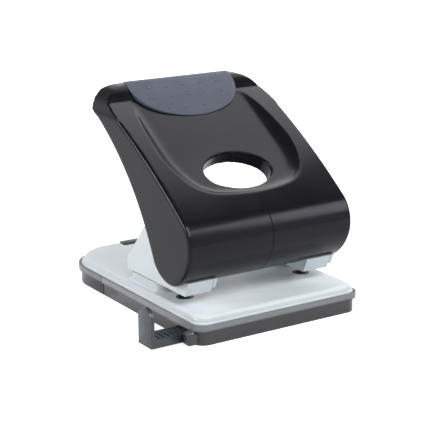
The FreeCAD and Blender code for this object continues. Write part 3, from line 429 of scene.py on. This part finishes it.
# ------------------------------------------------------------------ materials
class Finish:
    """A procedural material built round one Principled shader."""

    def __init__(self, name, roughness, metallic=0.0):
        self.material = bpy.data.materials.new(name)
        self.material.use_nodes = True
        self.nodes = self.material.node_tree.nodes
        self.links = self.material.node_tree.links
        self.shader = self.nodes["Principled BSDF"]
        self.shader.inputs["Roughness"].default_value = roughness
        self.shader.inputs["Metallic"].default_value = metallic
        self.place = self.nodes.new("ShaderNodeTexCoord").outputs["Object"]

    def set(self, **values):
        """Set the shader's own inputs, with an underscore for each space in a name."""
        for name, value in values.items():
            self.shader.inputs[name.replace("_", " ")].default_value = value
        return self

    def grain(self, scale, detail=3.0, stretch=(1.0, 1.0, 1.0)):
        """Noise over the piece, at a scale per metre."""
        mapping = self.nodes.new("ShaderNodeMapping")
        mapping.inputs["Scale"].default_value = stretch
        self.links.new(self.place, mapping.inputs["Vector"])
        noise = self.nodes.new("ShaderNodeTexNoise")
        noise.inputs["Scale"].default_value = scale
        noise.inputs["Detail"].default_value = detail
        self.links.new(mapping.outputs["Vector"], noise.inputs["Vector"])
        return noise.outputs["Fac"]

    def ramp(self, source, low, high, start=0.35, end=0.65):
        """Map a pattern to a range of numbers."""
        node = self.nodes.new("ShaderNodeMapRange")
        node.inputs["From Min"].default_value = start
        node.inputs["From Max"].default_value = end
        node.inputs["To Min"].default_value = low
        node.inputs["To Max"].default_value = high
        self.links.new(source, node.inputs["Value"])
        return node.outputs["Result"]

    def tint(self, source, dark, light):
        """Colour from one shade to another along a pattern."""
        node = self.nodes.new("ShaderNodeMix")
        node.data_type = "RGBA"
        node.inputs["A"].default_value = (*dark, 1.0)
        node.inputs["B"].default_value = (*light, 1.0)
        self.links.new(source, node.inputs["Factor"])
        self.links.new(node.outputs["Result"], self.shader.inputs["Base Color"])
        return node

    def mottle(self, base, spread, scale, detail=3.0, stretch=(1.0, 1.0, 1.0)):
        """The base colour with soft patches a little darker and lighter."""
        dark = tuple(channel * (1.0 - spread) for channel in base)
        light = tuple(min(1.0, channel * (1.0 + spread)) for channel in base)
        patches = self.ramp(self.grain(scale, detail, stretch), 0.0, 1.0)
        return self.tint(patches, dark, light)

    def between(self, low, full, last, high):
        """One at heights in metres from full to last, fading to none at low and at high."""
        height = self.nodes.new("ShaderNodeSeparateXYZ")
        self.links.new(self.place, height.inputs["Vector"])
        band = self.nodes.new("ShaderNodeMath")
        band.operation = "MULTIPLY"
        self.links.new(self.ramp(height.outputs["Z"], 0.0, 1.0, low, full), band.inputs[0])
        self.links.new(self.ramp(height.outputs["Z"], 1.0, 0.0, last, high), band.inputs[1])
        return band.outputs["Value"]

    def vary_roughness(self, source, low, high):
        """Roughness from one value to another along a pattern."""
        self.links.new(self.ramp(source, low, high), self.shader.inputs["Roughness"])

    def bump(self, source, strength, distance):
        """Fine relief, its depth in metres."""
        node = self.nodes.new("ShaderNodeBump")
        node.inputs["Strength"].default_value = strength
        node.inputs["Distance"].default_value = distance
        self.links.new(source, node.inputs["Height"])
        self.links.new(node.outputs["Normal"], self.shader.inputs["Normal"])


def enamel(name, base, edge=None):
    """Baked light-grey paint with a faint orange peel, with painted shade down the cover's pressed
    sides and the raised stops.
    """
    paint = Finish(name, 0.38).set(Specular_IOR_Level=0.5, Coat_Weight=0.25, Coat_Roughness=0.2)
    body = paint.mottle(base, 0.035, 38.0, 4.0)
    # Painted shade: the enamel is tinted darker at the heights of the cover's sides and of the
    # raised stops.
    if edge:
        for heights in (COVER_SIDE_PAINTED_SHADE, STOP_SIDE_PAINTED_SHADE):
            side = paint.tint(paint.between(*heights), base, edge)
            paint.links.new(body.outputs["Result"], side.inputs["A"])
            body = side
    paint.vary_roughness(paint.grain(160.0), 0.32, 0.44)
    paint.bump(paint.grain(900.0, 2.0), 0.12, 0.00006)
    return paint.material


def moulded_black(name, base):
    """Satin black moulding with a very fine spark-eroded grain."""
    cool = (0.85, 0.86, 1.0, 1.0)
    plastic = Finish(name, 0.22).set(Specular_IOR_Level=0.23, Specular_Tint=cool)
    plastic.mottle(base, 0.10, 45.0)
    plastic.vary_roughness(plastic.grain(60.0), 0.20, 0.24)
    plastic.bump(plastic.grain(900.0, 2.0), 0.012, 0.00002)
    return plastic.material


def soft_pad(name, base):
    """Matt rubbery pad with a leathery micro texture."""
    pad = Finish(name, 0.62).set(Specular_IOR_Level=0.35, Sheen_Weight=0.15, Sheen_Roughness=0.5)
    pad.mottle(base, 0.07, 70.0, 4.0)
    pad.vary_roughness(pad.grain(300.0), 0.56, 0.70)
    pad.bump(pad.grain(1800.0), 0.25, 0.00010)
    return pad.material


def smoke_plastic(name, base, rim):
    """Glossy smoke-grey plastic with painted light: its thick rim is tinted lighter to stand in for
    the light that the rim gathers.
    """
    plastic = Finish(name, 0.16)
    plastic.set(Specular_IOR_Level=0.5, Transmission_Weight=0.18, IOR=1.49)
    # Painted light: the rim's heights are tinted lighter.
    plastic.tint(plastic.between(*TRAY_RIM_PAINTED_LIGHT), base, rim)
    plastic.vary_roughness(plastic.grain(90.0), 0.12, 0.22)
    plastic.bump(plastic.grain(420.0, 2.0), 0.06, 0.00005)
    return plastic.material


def guide_plastic(name, base):
    """Satin blue-grey moulding."""
    plastic = Finish(name, 0.3).set(Specular_IOR_Level=0.6)
    plastic.mottle(base, 0.06, 60.0)
    plastic.vary_roughness(plastic.grain(260.0), 0.26, 0.34)
    plastic.bump(plastic.grain(1500.0, 2.0), 0.10, 0.00005)
    return plastic.material


def steel(name, base, roughness, stretch=(1.0, 1.0, 1.0), mark=0.10):
    """Bare or plated steel with fine tool marks along one direction."""
    metal = Finish(name, roughness, 1.0)
    metal.mottle(base, 0.08, 110.0, 4.0, stretch)
    metal.vary_roughness(metal.grain(500.0, 3.0, stretch), roughness * 0.8, roughness * 1.25)
    metal.bump(metal.grain(1400.0, 2.0, stretch), mark, 0.00004)
    return metal.material


def disc_rubber(name, base):
    """Matt black rubber."""
    rubber = Finish(name, 0.8).set(Specular_IOR_Level=0.3)
    rubber.mottle(base, 0.15, 120.0, 4.0)
    rubber.bump(rubber.grain(1500.0), 0.3, 0.0001)
    return rubber.material


# ------------------------------------------------------------------ handle
def crown_up(opt, along):
    """Height of the crowned panel over a place along the handle."""
    reach = opt.crown - opt.nose
    low = NOSE_RISE - sqrt(reach ** 2 - (opt.crown_along - NOSE_ALONG) ** 2)
    return low + sqrt(opt.crown ** 2 - (along - opt.crown_along) ** 2)


def roll_front(opt):
    """Radius of the roll's front face."""
    run = opt.roll_along - opt.valley
    drop = opt.roll_rise + opt.roll - crown_up(opt, opt.valley)
    return (run * run + drop * drop) / (2 * drop)


def handle_side_view(opt):
    """Outer side view: roll, valley, crowned panel, nose, lower lip and concave rear edge."""
    share = opt.nose / (opt.crown - opt.nose)
    meet = NOSE_ALONG - (opt.crown_along - NOSE_ALONG) * share
    rear_drop, rear_hollow = 7.5, 160.0
    view = Outline(PANEL, opt.roll_along + opt.roll, opt.roll_rise)
    view.bow(opt.roll_along, opt.roll_rise + opt.roll, opt.roll, 20)
    view.bow(opt.valley, crown_up(opt, opt.valley), roll_front(opt), 10)
    view.bow(meet, crown_up(opt, meet), opt.crown, 40)
    view.bow(NOSE_ALONG - sqrt(opt.nose ** 2 - NOSE_TURN ** 2), NOSE_RISE + NOSE_TURN, opt.nose, 48)
    view.bow(-10.1, -12.1, LIP_FRONT, 20).bow(-4.5, -19.0, 14.0, 16).bow(15.0, -20.7, 21.0, 24)
    view.bow(opt.roll_along, opt.roll_rise - rear_drop, -rear_hollow, 40)
    return view


def handle_room(opt):
    """Side view of the hollow inside the handle, which is open below and behind."""
    roof = opt.floor - opt.wall
    inner = opt.nose - opt.wall
    turn_up = NOSE_TURN * inner / opt.nose
    curl = opt.roll - opt.wall
    mouth = opt.roll_rise - 8.0
    front, lip, below, behind = -8.3, -13.1, -41.4, 134.0
    view = Outline(PANEL, opt.roll_along, roof)
    view.line(NOSE_ALONG - sqrt(inner ** 2 - (roof - NOSE_RISE) ** 2), roof)
    view.bow(NOSE_ALONG - sqrt(inner ** 2 - turn_up ** 2), NOSE_RISE + turn_up, inner, 36)
    view.bow(front, lip, LIP_FRONT - opt.wall, 12)
    view.line(front, below).line(behind, below).line(behind, mouth)
    view.line(opt.roll_along + curl, mouth).line(opt.roll_along + curl, roof - curl)
    return view.bow(opt.roll_along, roof, curl, 14)


def recess_tool(opt):
    """U-shaped plan with sides that curve up from the floor, and a floor that turns up in front."""
    out = 2.6  # the plan stands this far outside the recess, for its sides to run out at the panel
    front, corner = (24.0, 15.08 - out), (40.35 + out * 0.8, 28.7 - out * 0.6)
    side, (start, end), rear = 46.5 + out, (56.2, 95.0), (31.5, 110.0 + out)
    plan = Outline(FLOOR, -front[0], front[1])
    plan.bow(*front, 95.0, 24).bow(*corner, 25.0 + out, 20)
    plan.bow(side, start, 65.0 + out, 20).line(side, end).bow(*rear, 15.0 + out, 14)
    plan.line(-rear[0], rear[1]).bow(-side, end, 15.0 + out, 14).line(-side, start)
    plan.bow(-corner[0], corner[1], 65.0 + out, 20).bow(-front[0], front[1], 25.0 + out, 20)
    mesh = plan.solid(opt.floor, opt.floor + 20.0)
    soften_edges(mesh, level(opt.floor), opt.blend, 18)
    dish_end = 60.0
    for along in range(20, 64, 4):
        bmesh.ops.bisect_plane(mesh, geom=everything(mesh), plane_co=(0, along, 0),
                               plane_no=(0, 1, 0), dist=MERGE)
    for vert in mesh.verts:
        if vert.co.z < opt.floor + opt.blend and vert.co.y < dish_end:
            vert.co.z += (dish_end - vert.co.y) ** 2 / (2 * opt.dish)
    return mesh


def oval(opt, extra, low, high):
    """Finger hole of four arcs, grown by an extra width."""
    middle = opt.hole_width / 2 - opt.hole_end
    side = opt.hole_height / 2
    long = (middle ** 2 + side ** 2 - opt.hole_end ** 2) / (2 * (side - opt.hole_end))
    share = (opt.hole_end + extra) / (long - opt.hole_end)
    x, y = middle + middle * share, (long - side) * share
    front, back = opt.hole_along - y, opt.hole_along + y
    plan = Outline(FLOOR, -x, front)
    plan.bow(x, front, long + extra, 24).bow(x, back, opt.hole_end + extra, 24)
    plan.bow(-x, back, long + extra, 24).bow(-x, front, opt.hole_end + extra, 24)
    return plan.solid(low, high)


def rounded_mask(opt, inset):
    """Upright mask that crowns the roll and rounds its ends."""
    half = opt.width / 2 - inset
    corner = opt.corner - inset
    top = opt.roll_along * sin(opt.slope) + opt.roll_rise * cos(opt.slope) + opt.roll - inset
    side_top = top - opt.roll_crown + sqrt(opt.roll_crown ** 2 - (half - corner) ** 2)
    view = Outline(FRONT, -half, -opt.roll_along)
    view.line(half, -opt.roll_along).line(half, side_top - corner)
    view.bow(half - corner, side_top, corner, 20).bow(corner - half, side_top, opt.roll_crown, 16)
    view.bow(-half, side_top - corner, corner, 20)
    return upright(view.solid(-300.0, 300.0), opt.slope)


def round_sides(item, half, radius):
    """Round the edges between the outer skin and the two flat side walls."""
    mesh = load(item)
    bmesh.ops.dissolve_limit(mesh, angle_limit=radians(0.2), verts=mesh.verts[:],
                             edges=mesh.edges[:])
    wall = half * MM - 1e-6

    def on_rim(edge):
        flat = all(abs(vert.co.x) > wall for vert in edge.verts)
        return flat and edge.is_manifold and edge.calc_face_angle() > radians(30.0)

    soften_edges(mesh, on_rim, radius * MM, 6, clamp=False)
    store(mesh, item)


def press_line(item, opt):
    """Fine moulded line down the middle of the nose, from the recess to the lower lip."""
    mesh = load(item)
    for across in (-0.6, -0.3, 0.0, 0.3, 0.6):
        bmesh.ops.bisect_plane(mesh, geom=everything(mesh), plane_co=(across * MM, 0, 0),
                               plane_no=(1, 0, 0), dist=1e-6)
    middle = Vector((0.0, NOSE_ALONG * MM, NOSE_RISE * MM))
    half_width, recess, lip, outside = 3e-6, 14.8 * MM, -12.0 * MM, (opt.nose - 1.0) * MM
    for vert in mesh.verts:
        if abs(vert.co.x) < half_width and vert.co.y < recess:
            if (vert.co - middle).length > outside or vert.co.z < lip:
                vert.co -= vert.normal * opt.line * MM
    store(mesh, item)


class PUNCH_OT_handle(bpy.types.Operator):
    """Handle moulding with its crowned panel, dished recess, finger hole and rolled end"""
    bl_idname = "punch.handle"
    bl_label = "Handle"

    def execute(self, context):
        opt = context.scene.punch_handle
        half = opt.width / 2
        item = as_object("handle_moulding", handle_side_view(opt).solid(-half, half))
        carve(item, rounded_mask(opt, 0.0), "INTERSECT")
        round_sides(item, half, opt.crease)
        room = as_object("room", handle_room(opt).solid(opt.wall - half, half - opt.wall))
        carve(room, rounded_mask(opt, opt.wall), "INTERSECT")
        carve(item, take_mesh(room))
        carve(item, recess_tool(opt))
        collar_wall, overlap = 2.0, 0.4
        collar = oval(opt, collar_wall, opt.floor - opt.collar, opt.floor - overlap)
        carve(item, collar, "UNION")
        carve(item, oval(opt, 0.0, -5.0, 40.0))
        smooth_skin(item, opt.voxel, opt.soften)
        press_line(item, opt)
        front, back, top, clear = -81.45, -27.15, 30.15, 0.5
        for side in (-1, 1):
            near = side * PIN_ACROSS - TOWER_HALF - clear
            far = near + 2 * (TOWER_HALF + clear)
            notch = block((near, front - AXLE.y, -AXLE.z), (far, back - AXLE.y, top - AXLE.z))
            carve(item, upright(notch, opt.slope))
        shade(item, 42.0)
        tip_up(item, opt.slope)
        dress(item, FINISHES["handle"], "handle", "black_plastic", "handle_shell")
        return {"FINISHED"}


class PUNCH_OT_pad(bpy.types.Operator):
    """Soft D-shaped grip pad wrapped over the rolled end, with three rows of small bumps"""
    bl_idname = "punch.pad"
    bl_label = "Grip pad"

    def execute(self, context):
        opt = context.scene.punch_handle
        slope = opt.slope
        air = 0.05
        seat, over = opt.roll + air, opt.roll + air + opt.pad_rise
        low = opt.floor + air
        tip = 83.6 - opt.pad_rise
        rise = opt.roll_rise + over - low - opt.pad_rise
        run = opt.roll_along - tip
        top = (run * run + rise * rise) / (2 * rise)
        side = Outline(PANEL, tip, low)
        side.line(opt.valley, low)
        side.bow(opt.roll_along, opt.roll_rise + seat, -roll_front(opt), 12)
        side.bow(opt.roll_along + seat * sin(slope), opt.roll_rise + seat * cos(slope), -seat, 10)
        side.line(opt.roll_along + over * sin(slope), opt.roll_rise + over * cos(slope))
        side.bow(opt.roll_along, opt.roll_rise + over, over, 10)
        side.bow(tip, low + opt.pad_rise, top, 30)
        item = as_object("grip_pad_skin", side.solid(-40.0, 40.0))
        front, flank, rear, flank_radius = (21.7, 88.45), (35.7, 110.5), 130.0, 24.4
        plan = Outline(FLOOR, -front[0], front[1])
        plan.bow(*front, 51.0, 30).bow(*flank, flank_radius, 30)
        plan.line(flank[0], rear).line(-flank[0], rear).line(-flank[0], flank[1])
        plan.bow(-front[0], front[1], flank_radius, 30)
        carve(item, plan.solid(0.0, 60.0), "INTERSECT")
        edge_bevel(item, 0.3, 3)
        dots = bmesh.new()
        centre = opt.roll_rise + over - top
        pitch, radius, sunk, flatness = 11.5, 1.1, 0.1, 0.45
        for row, count in ((91.0, 4), (99.5, 5), (107.5, 5)):
            lift = centre + sqrt(top * top - (row - opt.roll_along) ** 2) - sunk
            for index in range(count):
                spot = Matrix.Translation(((index - (count - 1) / 2) * pitch, row, lift))
                bmesh.ops.create_icosphere(dots, subdivisions=3, radius=radius,
                                           matrix=spot @ Matrix.Diagonal((1, 1, flatness, 1)))
        bumps = as_object("bumps", dots)
        shade(bumps, 180.0)
        join(item, bumps)
        tip_up(item, slope)
        dress(item, FINISHES["pad"], "handle", "pad_rubber", "grip_pad")
        return {"FINISHED"}


# ------------------------------------------------------------------ base
def stop_pad(side, high):
    """Raised paper stop under one tower, pressed up from the cover with a flared foot."""
    half, front, back, corner, rise = 9.05, -26.5, 8.0, 6.5, 6.0
    flare, steps, sunk_foot = 3.0, 8, 0.4
    slot, inset = 0.9, 2.2  # the thin slot that stays open under the tower's rim
    middle, deep = (front + back) / 2, (back - front) / 2
    foot, shoulder = high + flare - sunk_foot, high + rise - slot
    mesh = rounded_plan(half, deep, corner, corner, middle).solid(foot, shoulder)
    seat = [face for face in mesh.faces if level(shoulder)(face)]
    bmesh.ops.inset_region(mesh, faces=seat, thickness=inset)
    seat, verts = extrude(mesh, seat)
    bmesh.ops.translate(mesh, verts=verts, vec=(0, 0, slot))
    cap = [face for face in mesh.faces if level(foot)(face)]
    centre = Matrix.Translation((0, -middle, 0))
    reach, sunk = 0.0, 0.0
    for step in range(1, steps + 1):
        turn = radians(90.0 * step / steps)
        out, drop = flare * (1 - cos(turn)), flare * sin(turn)
        cap, verts = extrude(mesh, cap)
        wider = ((half + out) / (half + reach), (deep + out) / (deep + reach), 1)
        bmesh.ops.scale(mesh, vec=wider, verts=verts, space=centre)
        bmesh.ops.translate(mesh, verts=verts, vec=(0, 0, sunk - drop))
        reach, sunk = out, drop
    bmesh.ops.recalc_face_normals(mesh, faces=mesh.faces[:])
    bmesh.ops.translate(mesh, verts=mesh.verts[:], vec=(side * PIN_ACROSS, 0, 0))
    return mesh


class PUNCH_OT_cover(bpy.types.Operator):
    """Pressed steel cover of the base, with a rolled edge, raised paper stops and lug notch"""
    bl_idname = "punch.cover"
    bl_label = "Base cover"

    def execute(self, context):
        opt = context.scene.punch_base
        half, deep = opt.width / 2, opt.depth / 2
        front, rear = opt.front_corner, opt.rear_corner
        low, high = opt.tray_top, opt.tray_top + opt.rise
        mesh = rounded_plan(half, deep, front, rear).solid(low, high)
        top = [vert for vert in mesh.verts if abs(vert.co.z - high) < NEAR]
        bmesh.ops.scale(mesh, vec=(1 - opt.draft / half, 1 - opt.draft / deep, 1), verts=top)
        soften_edges(mesh, level(high), opt.edge, 6)
        bottom = [face for face in mesh.faces if level(low)(face)]
        bmesh.ops.delete(mesh, geom=bottom, context="FACES")
        bmesh.ops.solidify(mesh, geom=mesh.faces[:], thickness=opt.sheet)
        item = as_object("base_cover", mesh)
        rise, wall = 0.7, 1.0
        outer = rounded_plan(half + opt.flange, deep + opt.flange, front, rear)
        inner = rounded_plan(half - wall, deep - wall, front - wall, rear - wall)
        foot = as_object("foot", outer.solid(low, low + rise))
        carve(foot, inner.solid(low - 5.0, low + 5.0))
        carve(item, take_mesh(foot), "UNION")
        die_hole = 5.05
        for side in (-1, 1):
            place = (side * PIN_ACROSS, PIN_PLACE)
            carve(item, stop_pad(side, high), "UNION")
            carve(item, rod(die_hole, (*place, 5.0), (*place, 18.0)))
        lug_notch = block((-18.9, 65.4, 5.0), (18.9, 90.0, 20.0))
        carve(item, lug_notch)
        edge_bevel(item, 0.45, 3, 18.0)
        dress(item, FINISHES["plate"], "base", "plate_paint", "base_plate")
        return {"FINISHED"}


class PUNCH_OT_tray(bpy.types.Operator):
    """Smoke-grey chip tray with its stepped lip, lug, side slit, guide tunnel and snap tongue"""
    bl_idname = "punch.tray"
    bl_label = "Chip tray"

    def execute(self, context):
        opt = context.scene.punch_base
        skirt = rounded_plan(53.85, 75.35, 7.0, 24.5).solid(0.0, opt.skirt)
        lip = rounded_plan(55.5, 76.25, 7.5, 25.0).solid(opt.skirt - 0.01, opt.tray_top)
        room = rounded_plan(51.85, 73.35, 5.0, 22.5).solid(1.0, 20.0)
        item = as_object("chip_tray_shell", skirt)
        carve(item, lip, "UNION")
        carve(item, room)
        groove = as_object("groove", rounded_plan(54.75, 75.85, 7.6, 25.1).solid(10.7, 12.0))
        carve(groove, rounded_plan(54.1, 75.2, 7.0, 24.5).solid(10.0, 13.0))
        carve(item, take_mesh(groove))
        tunnel = block((-52.5, -67.8, 0.5), (39.7, -50.8, 7.3))
        tunnel_room = block((-70.0, -66.4, 1.0), (38.3, -52.2, 5.9))
        lug = block((-17.7, 66.6, 4.0), (17.7, 73.6, 16.3))
        slit = block((-60.0, 28.9, -1.0), (-52.95, 29.7, 14.0))
        carve(item, tunnel, "UNION")
        carve(item, tunnel_room)
        carve(item, lug, "UNION")
        carve(item, slit)
        low, front, back, shoulder, outer = 0.9, -72.6, -67.4, 5.8, -59.65
        tongue = Outline(PANEL, front, low).line(back, low).line(back, shoulder)
        tongue = tongue.arc((front + back) / 2, shoulder, 180, 20).solid(outer, -52.9)
        soften_edges(tongue, lambda edge: all(vert.co.x < outer + 0.05 for vert in edge.verts),
                     1.6, 6)
        carve(item, tongue, "UNION")
        edge_bevel(item, 0.3, 2)
        dress(item, FINISHES["tray"], "tray", "smoke_plastic", "chip_tray")
        return {"FINISHED"}


class PUNCH_OT_guide(bpy.types.Operator):
    """Sliding paper guide: arched upright and a ribbed arm"""
    bl_idname = "punch.guide"
    bl_label = "Paper guide"

    def execute(self, context):
        front, back, bottom = -66.1, -52.5, 1.0
        half, shoulder, arch = (back - front) / 2, 17.3, 5.3
        bow = (half * half + arch * arch) / (2 * arch)
        view = Outline(PANEL, front, bottom).line(back, bottom).line(back, shoulder)
        view.arc((front + back) / 2, shoulder + arch - bow, 2 * degrees(asin(half / bow)), 24)
        item = as_object("paper_guide_arm", view.solid(-77.95, -75.75))
        carve(item, block((-76.85, front, bottom), (18.15, back, 5.6)), "UNION")
        first, pitch, width, margin, grooves = -72.75, 3.074, 1.5, 1.4, 28
        for index in range(grooves):
            start = first + index * pitch
            groove = block((start, front + margin, 5.0), (start + width, back - margin, 7.0))
            carve(item, groove)
        edge_bevel(item, 0.3, 2)
        dress(item, FINISHES["guide"], "guide", "guide_plastic", "paper_guide")
        return {"FINISHED"}


class PUNCH_OT_steelwork(bpy.types.Operator):
    """Finish of the towers, pins, dies, axle, lever and fasteners"""
    bl_idname = "punch.steelwork"
    bl_label = "Steelwork"

    def execute(self, context):
        table = {
            "tower": ("left_tower", "right_tower", "left_side_plate", "right_side_plate",
                      "tower_rivets"),
            "zinc": ("foot_rivets", "axle_clips", "lever_frame", "handle_screws"),
            "steel": ("left_guide_block", "right_guide_block", "pivot_axle", "press_bars",
                      "left_pin_spring", "right_pin_spring"),
            "tool": ("left_punch_pin", "right_punch_pin"),
            "die": ("left_die", "right_die"),
            "rubber": ("grip_discs",),
        }
        for finish, names in table.items():
            for name in names:
                node = NODES[name]
                node.data.materials.clear()
                node.data.materials.append(FINISHES[finish])
        return {"FINISHED"}


# ------------------------------------------------------------------ stage
def lamp(name, place, height, power, span):
    """A soft rectangular lamp that points at a height above the origin."""
    data = bpy.data.lights.new(name, "AREA")
    data.shape = "RECTANGLE"
    data.size, data.size_y = span
    data.energy = power
    item = bpy.data.objects.new(name, data)
    item.location = place
    aim = Vector((0, 0, height)) - Vector(place)
    item.rotation_euler = aim.to_track_quat("-Z", "Y").to_euler()
    bpy.context.scene.collection.objects.link(item)


def calculate(nodes, links, operation, first, second):
    """A Math node on two values, of which the second may be a plain number."""
    node = nodes.new("ShaderNodeMath")
    node.operation = operation
    links.new(first, node.inputs[0])
    if isinstance(second, float):
        node.inputs[1].default_value = second
    else:
        links.new(second, node.inputs[1])
    return node.outputs["Value"]


def bounced(nodes, links, path):
    """One for rays that come off a glossy or through a clear surface."""
    return calculate(nodes, links, "MAXIMUM", path.outputs["Is Glossy Ray"],
                     path.outputs["Is Transmission Ray"])


def floor_material():
    """White floor: clean white for the camera, with the object's soft shadow kept."""
    material = bpy.data.materials.new("studio_floor")
    material.use_nodes = True
    nodes, links = material.node_tree.nodes, material.node_tree.links
    nodes.remove(nodes["Principled BSDF"])
    paper = nodes.new("ShaderNodeBsdfDiffuse")
    paper.inputs["Color"].default_value = (0.80, 0.80, 0.80, 1.0)
    glow = nodes.new("ShaderNodeEmission")
    glow.inputs["Color"].default_value = (1.0, 1.0, 1.0, 1.0)
    path = nodes.new("ShaderNodeLightPath")
    seen = calculate(nodes, links, "MULTIPLY", bounced(nodes, links, path), 0.2)
    direct = calculate(nodes, links, "MULTIPLY", path.outputs["Is Camera Ray"], 0.84)
    links.new(calculate(nodes, links, "MAXIMUM", seen, direct), glow.inputs["Strength"])
    both = nodes.new("ShaderNodeAddShader")
    links.new(paper.outputs["BSDF"], both.inputs[0])
    links.new(glow.outputs["Emission"], both.inputs[1])
    links.new(both.outputs["Shader"], nodes["Material Output"].inputs["Surface"])
    return material


def surroundings(ambient):
    """Soft bluish sky that lights the scene; white for the camera and in low reflections."""
    world = bpy.data.worlds.new("studio")
    world.use_nodes = True
    nodes, links = world.node_tree.nodes, world.node_tree.links
    sky = nodes["Background"]
    sky.inputs["Color"].default_value = (0.95, 0.97, 1.0, 1.0)
    sky.inputs["Strength"].default_value = ambient
    white = nodes.new("ShaderNodeBackground")
    white.inputs["Color"].default_value = (1.0, 1.0, 1.0, 1.0)
    mix = nodes.new("ShaderNodeMixShader")
    path = nodes.new("ShaderNodeLightPath")
    way = nodes.new("ShaderNodeSeparateXYZ")
    links.new(nodes.new("ShaderNodeTexCoord").outputs["Generated"], way.inputs["Vector"])
    wall = nodes.new("ShaderNodeMapRange")
    wall.inputs["From Min"].default_value = 0.45
    wall.inputs["From Max"].default_value = 0.25
    links.new(way.outputs["Z"], wall.inputs["Value"])
    share = calculate(nodes, links, "MULTIPLY", bounced(nodes, links, path), wall.outputs["Result"])
    share = calculate(nodes, links, "MAXIMUM", share, path.outputs["Is Camera Ray"])
    links.new(share, mix.inputs["Fac"])
    links.new(sky.outputs["Background"], mix.inputs[1])
    links.new(white.outputs["Background"], mix.inputs[2])
    links.new(mix.outputs["Shader"], nodes["World Output"].inputs["Surface"])
    return world


class PUNCH_OT_stage(bpy.types.Operator):
    """Pale floor, soft lamps, white surroundings and the camera"""
    bl_idname = "punch.stage"
    bl_label = "Stage"

    def execute(self, context):
        opt = context.scene.punch_stage
        scene = context.scene
        scene.view_settings.view_transform = "Standard"
        mesh = bmesh.new()
        bmesh.ops.create_grid(mesh, x_segments=2, y_segments=2, size=FLOOR_HALF)
        floor = as_object("studio_floor", mesh)
        floor.data.materials.append(floor_material())
        scene.world = surroundings(opt.ambient)
        lamp("top_lamp", (0.60, 0.42, 0.92), 0.05, opt.top, (0.75, 0.75))
        lamp("key_lamp", (0.03, -0.80, 0.90), 0.05, opt.key, (0.8, 0.6))
        lamp("left_lamp", (-1.0, 0.30, 0.50), 0.05, opt.side, (0.7, 0.45))
        lamp("fill_lamp", (0.72, -0.64, 0.62), 0.08, opt.fill, (0.45, 0.45))
        lamp("rear_lamp", (0.55, 0.80, 0.75), 0.08, opt.rear, (0.9, 0.6))
        data = bpy.data.cameras.new("camera")
        data.lens = opt.lens
        data.sensor_fit = "HORIZONTAL"
        data.sensor_width = 36.0
        camera = bpy.data.objects.new("camera", data)
        camera.location = (-0.42720, -0.66060, 0.26622)
        camera.rotation_euler = (radians(74.10), 0.0, radians(-33.62))
        scene.collection.objects.link(camera)
        scene.camera = camera
        return {"FINISHED"}


class PUNCH_PT_sidebar(bpy.types.Panel):
    """Lists the pieces of the punch"""
    bl_label = "Lever punch"
    bl_idname = "PUNCH_PT_sidebar"
    bl_space_type = "VIEW_3D"
    bl_region_type = "UI"
    bl_category = "Punch"

    def draw(self, context):
        for operator in OPERATORS:
            self.layout.operator(operator.bl_idname)
        for group in ("punch_handle", "punch_base", "punch_finish", "punch_stage"):
            settings = getattr(context.scene, group)
            box = self.layout.box()
            for name in settings.__annotations__:
                box.prop(settings, name)


OPERATORS = (PUNCH_OT_handle, PUNCH_OT_pad, PUNCH_OT_cover, PUNCH_OT_tray, PUNCH_OT_guide,
             PUNCH_OT_steelwork, PUNCH_OT_stage)
GROUPS = {"punch_handle": PUNCH_PG_handle, "punch_base": PUNCH_PG_base,
          "punch_finish": PUNCH_PG_finish, "punch_stage": PUNCH_PG_stage}
FINISHES = {}


def register():
    """Add the settings, the operators and the panel."""
    for group in GROUPS.values():
        bpy.utils.register_class(group)
    for name, group in GROUPS.items():
        setattr(bpy.types.Scene, name, PointerProperty(type=group))
    for operator in OPERATORS:
        bpy.utils.register_class(operator)
    bpy.utils.register_class(PUNCH_PT_sidebar)


def unregister():
    """Take them away again."""
    bpy.utils.unregister_class(PUNCH_PT_sidebar)
    for operator in reversed(OPERATORS):
        bpy.utils.unregister_class(operator)
    for name, group in GROUPS.items():
        delattr(bpy.types.Scene, name)
        bpy.utils.unregister_class(group)


def mix_finishes(tones):
    """Make every finish once."""
    # The plate enamel carries painted shade down the cover's sides and the raised stops.
    FINISHES["plate"] = enamel("plate_enamel", tones.plate, tones.plate_painted_shade)
    FINISHES["tower"] = enamel("tower_enamel", tones.tower)
    FINISHES["handle"] = moulded_black("black_moulding", tones.handle)
    FINISHES["pad"] = soft_pad("soft_pad", tones.pad)
    # The tray plastic carries painted light on its rim.
    FINISHES["tray"] = smoke_plastic("smoke_plastic", tones.tray, tones.rim)
    FINISHES["guide"] = guide_plastic("guide_plastic", tones.guide)
    FINISHES["steel"] = steel("bright_steel", tones.steel, 0.28, (1.0, 6.0, 6.0))
    FINISHES["tool"] = steel("tool_steel", tones.steel, 0.16, (1.0, 1.0, 8.0), 0.06)
    # Painted shade: dark steel for the dies, standing in for the shade under the towers.
    FINISHES["die"] = steel("die_steel_painted_shade", tones.die, 0.5)
    FINISHES["zinc"] = steel("zinc_plate", tones.zinc, 0.38)
    FINISHES["rubber"] = disc_rubber("disc_rubber", tones.rubber)


def main():
    """Build every piece and the stage."""
    register()
    mix_finishes(bpy.context.scene.punch_finish)
    for operator in OPERATORS:
        getattr(bpy.ops.punch, operator.bl_idname.split(".")[1])()


if __name__ == "__main__":
    main()
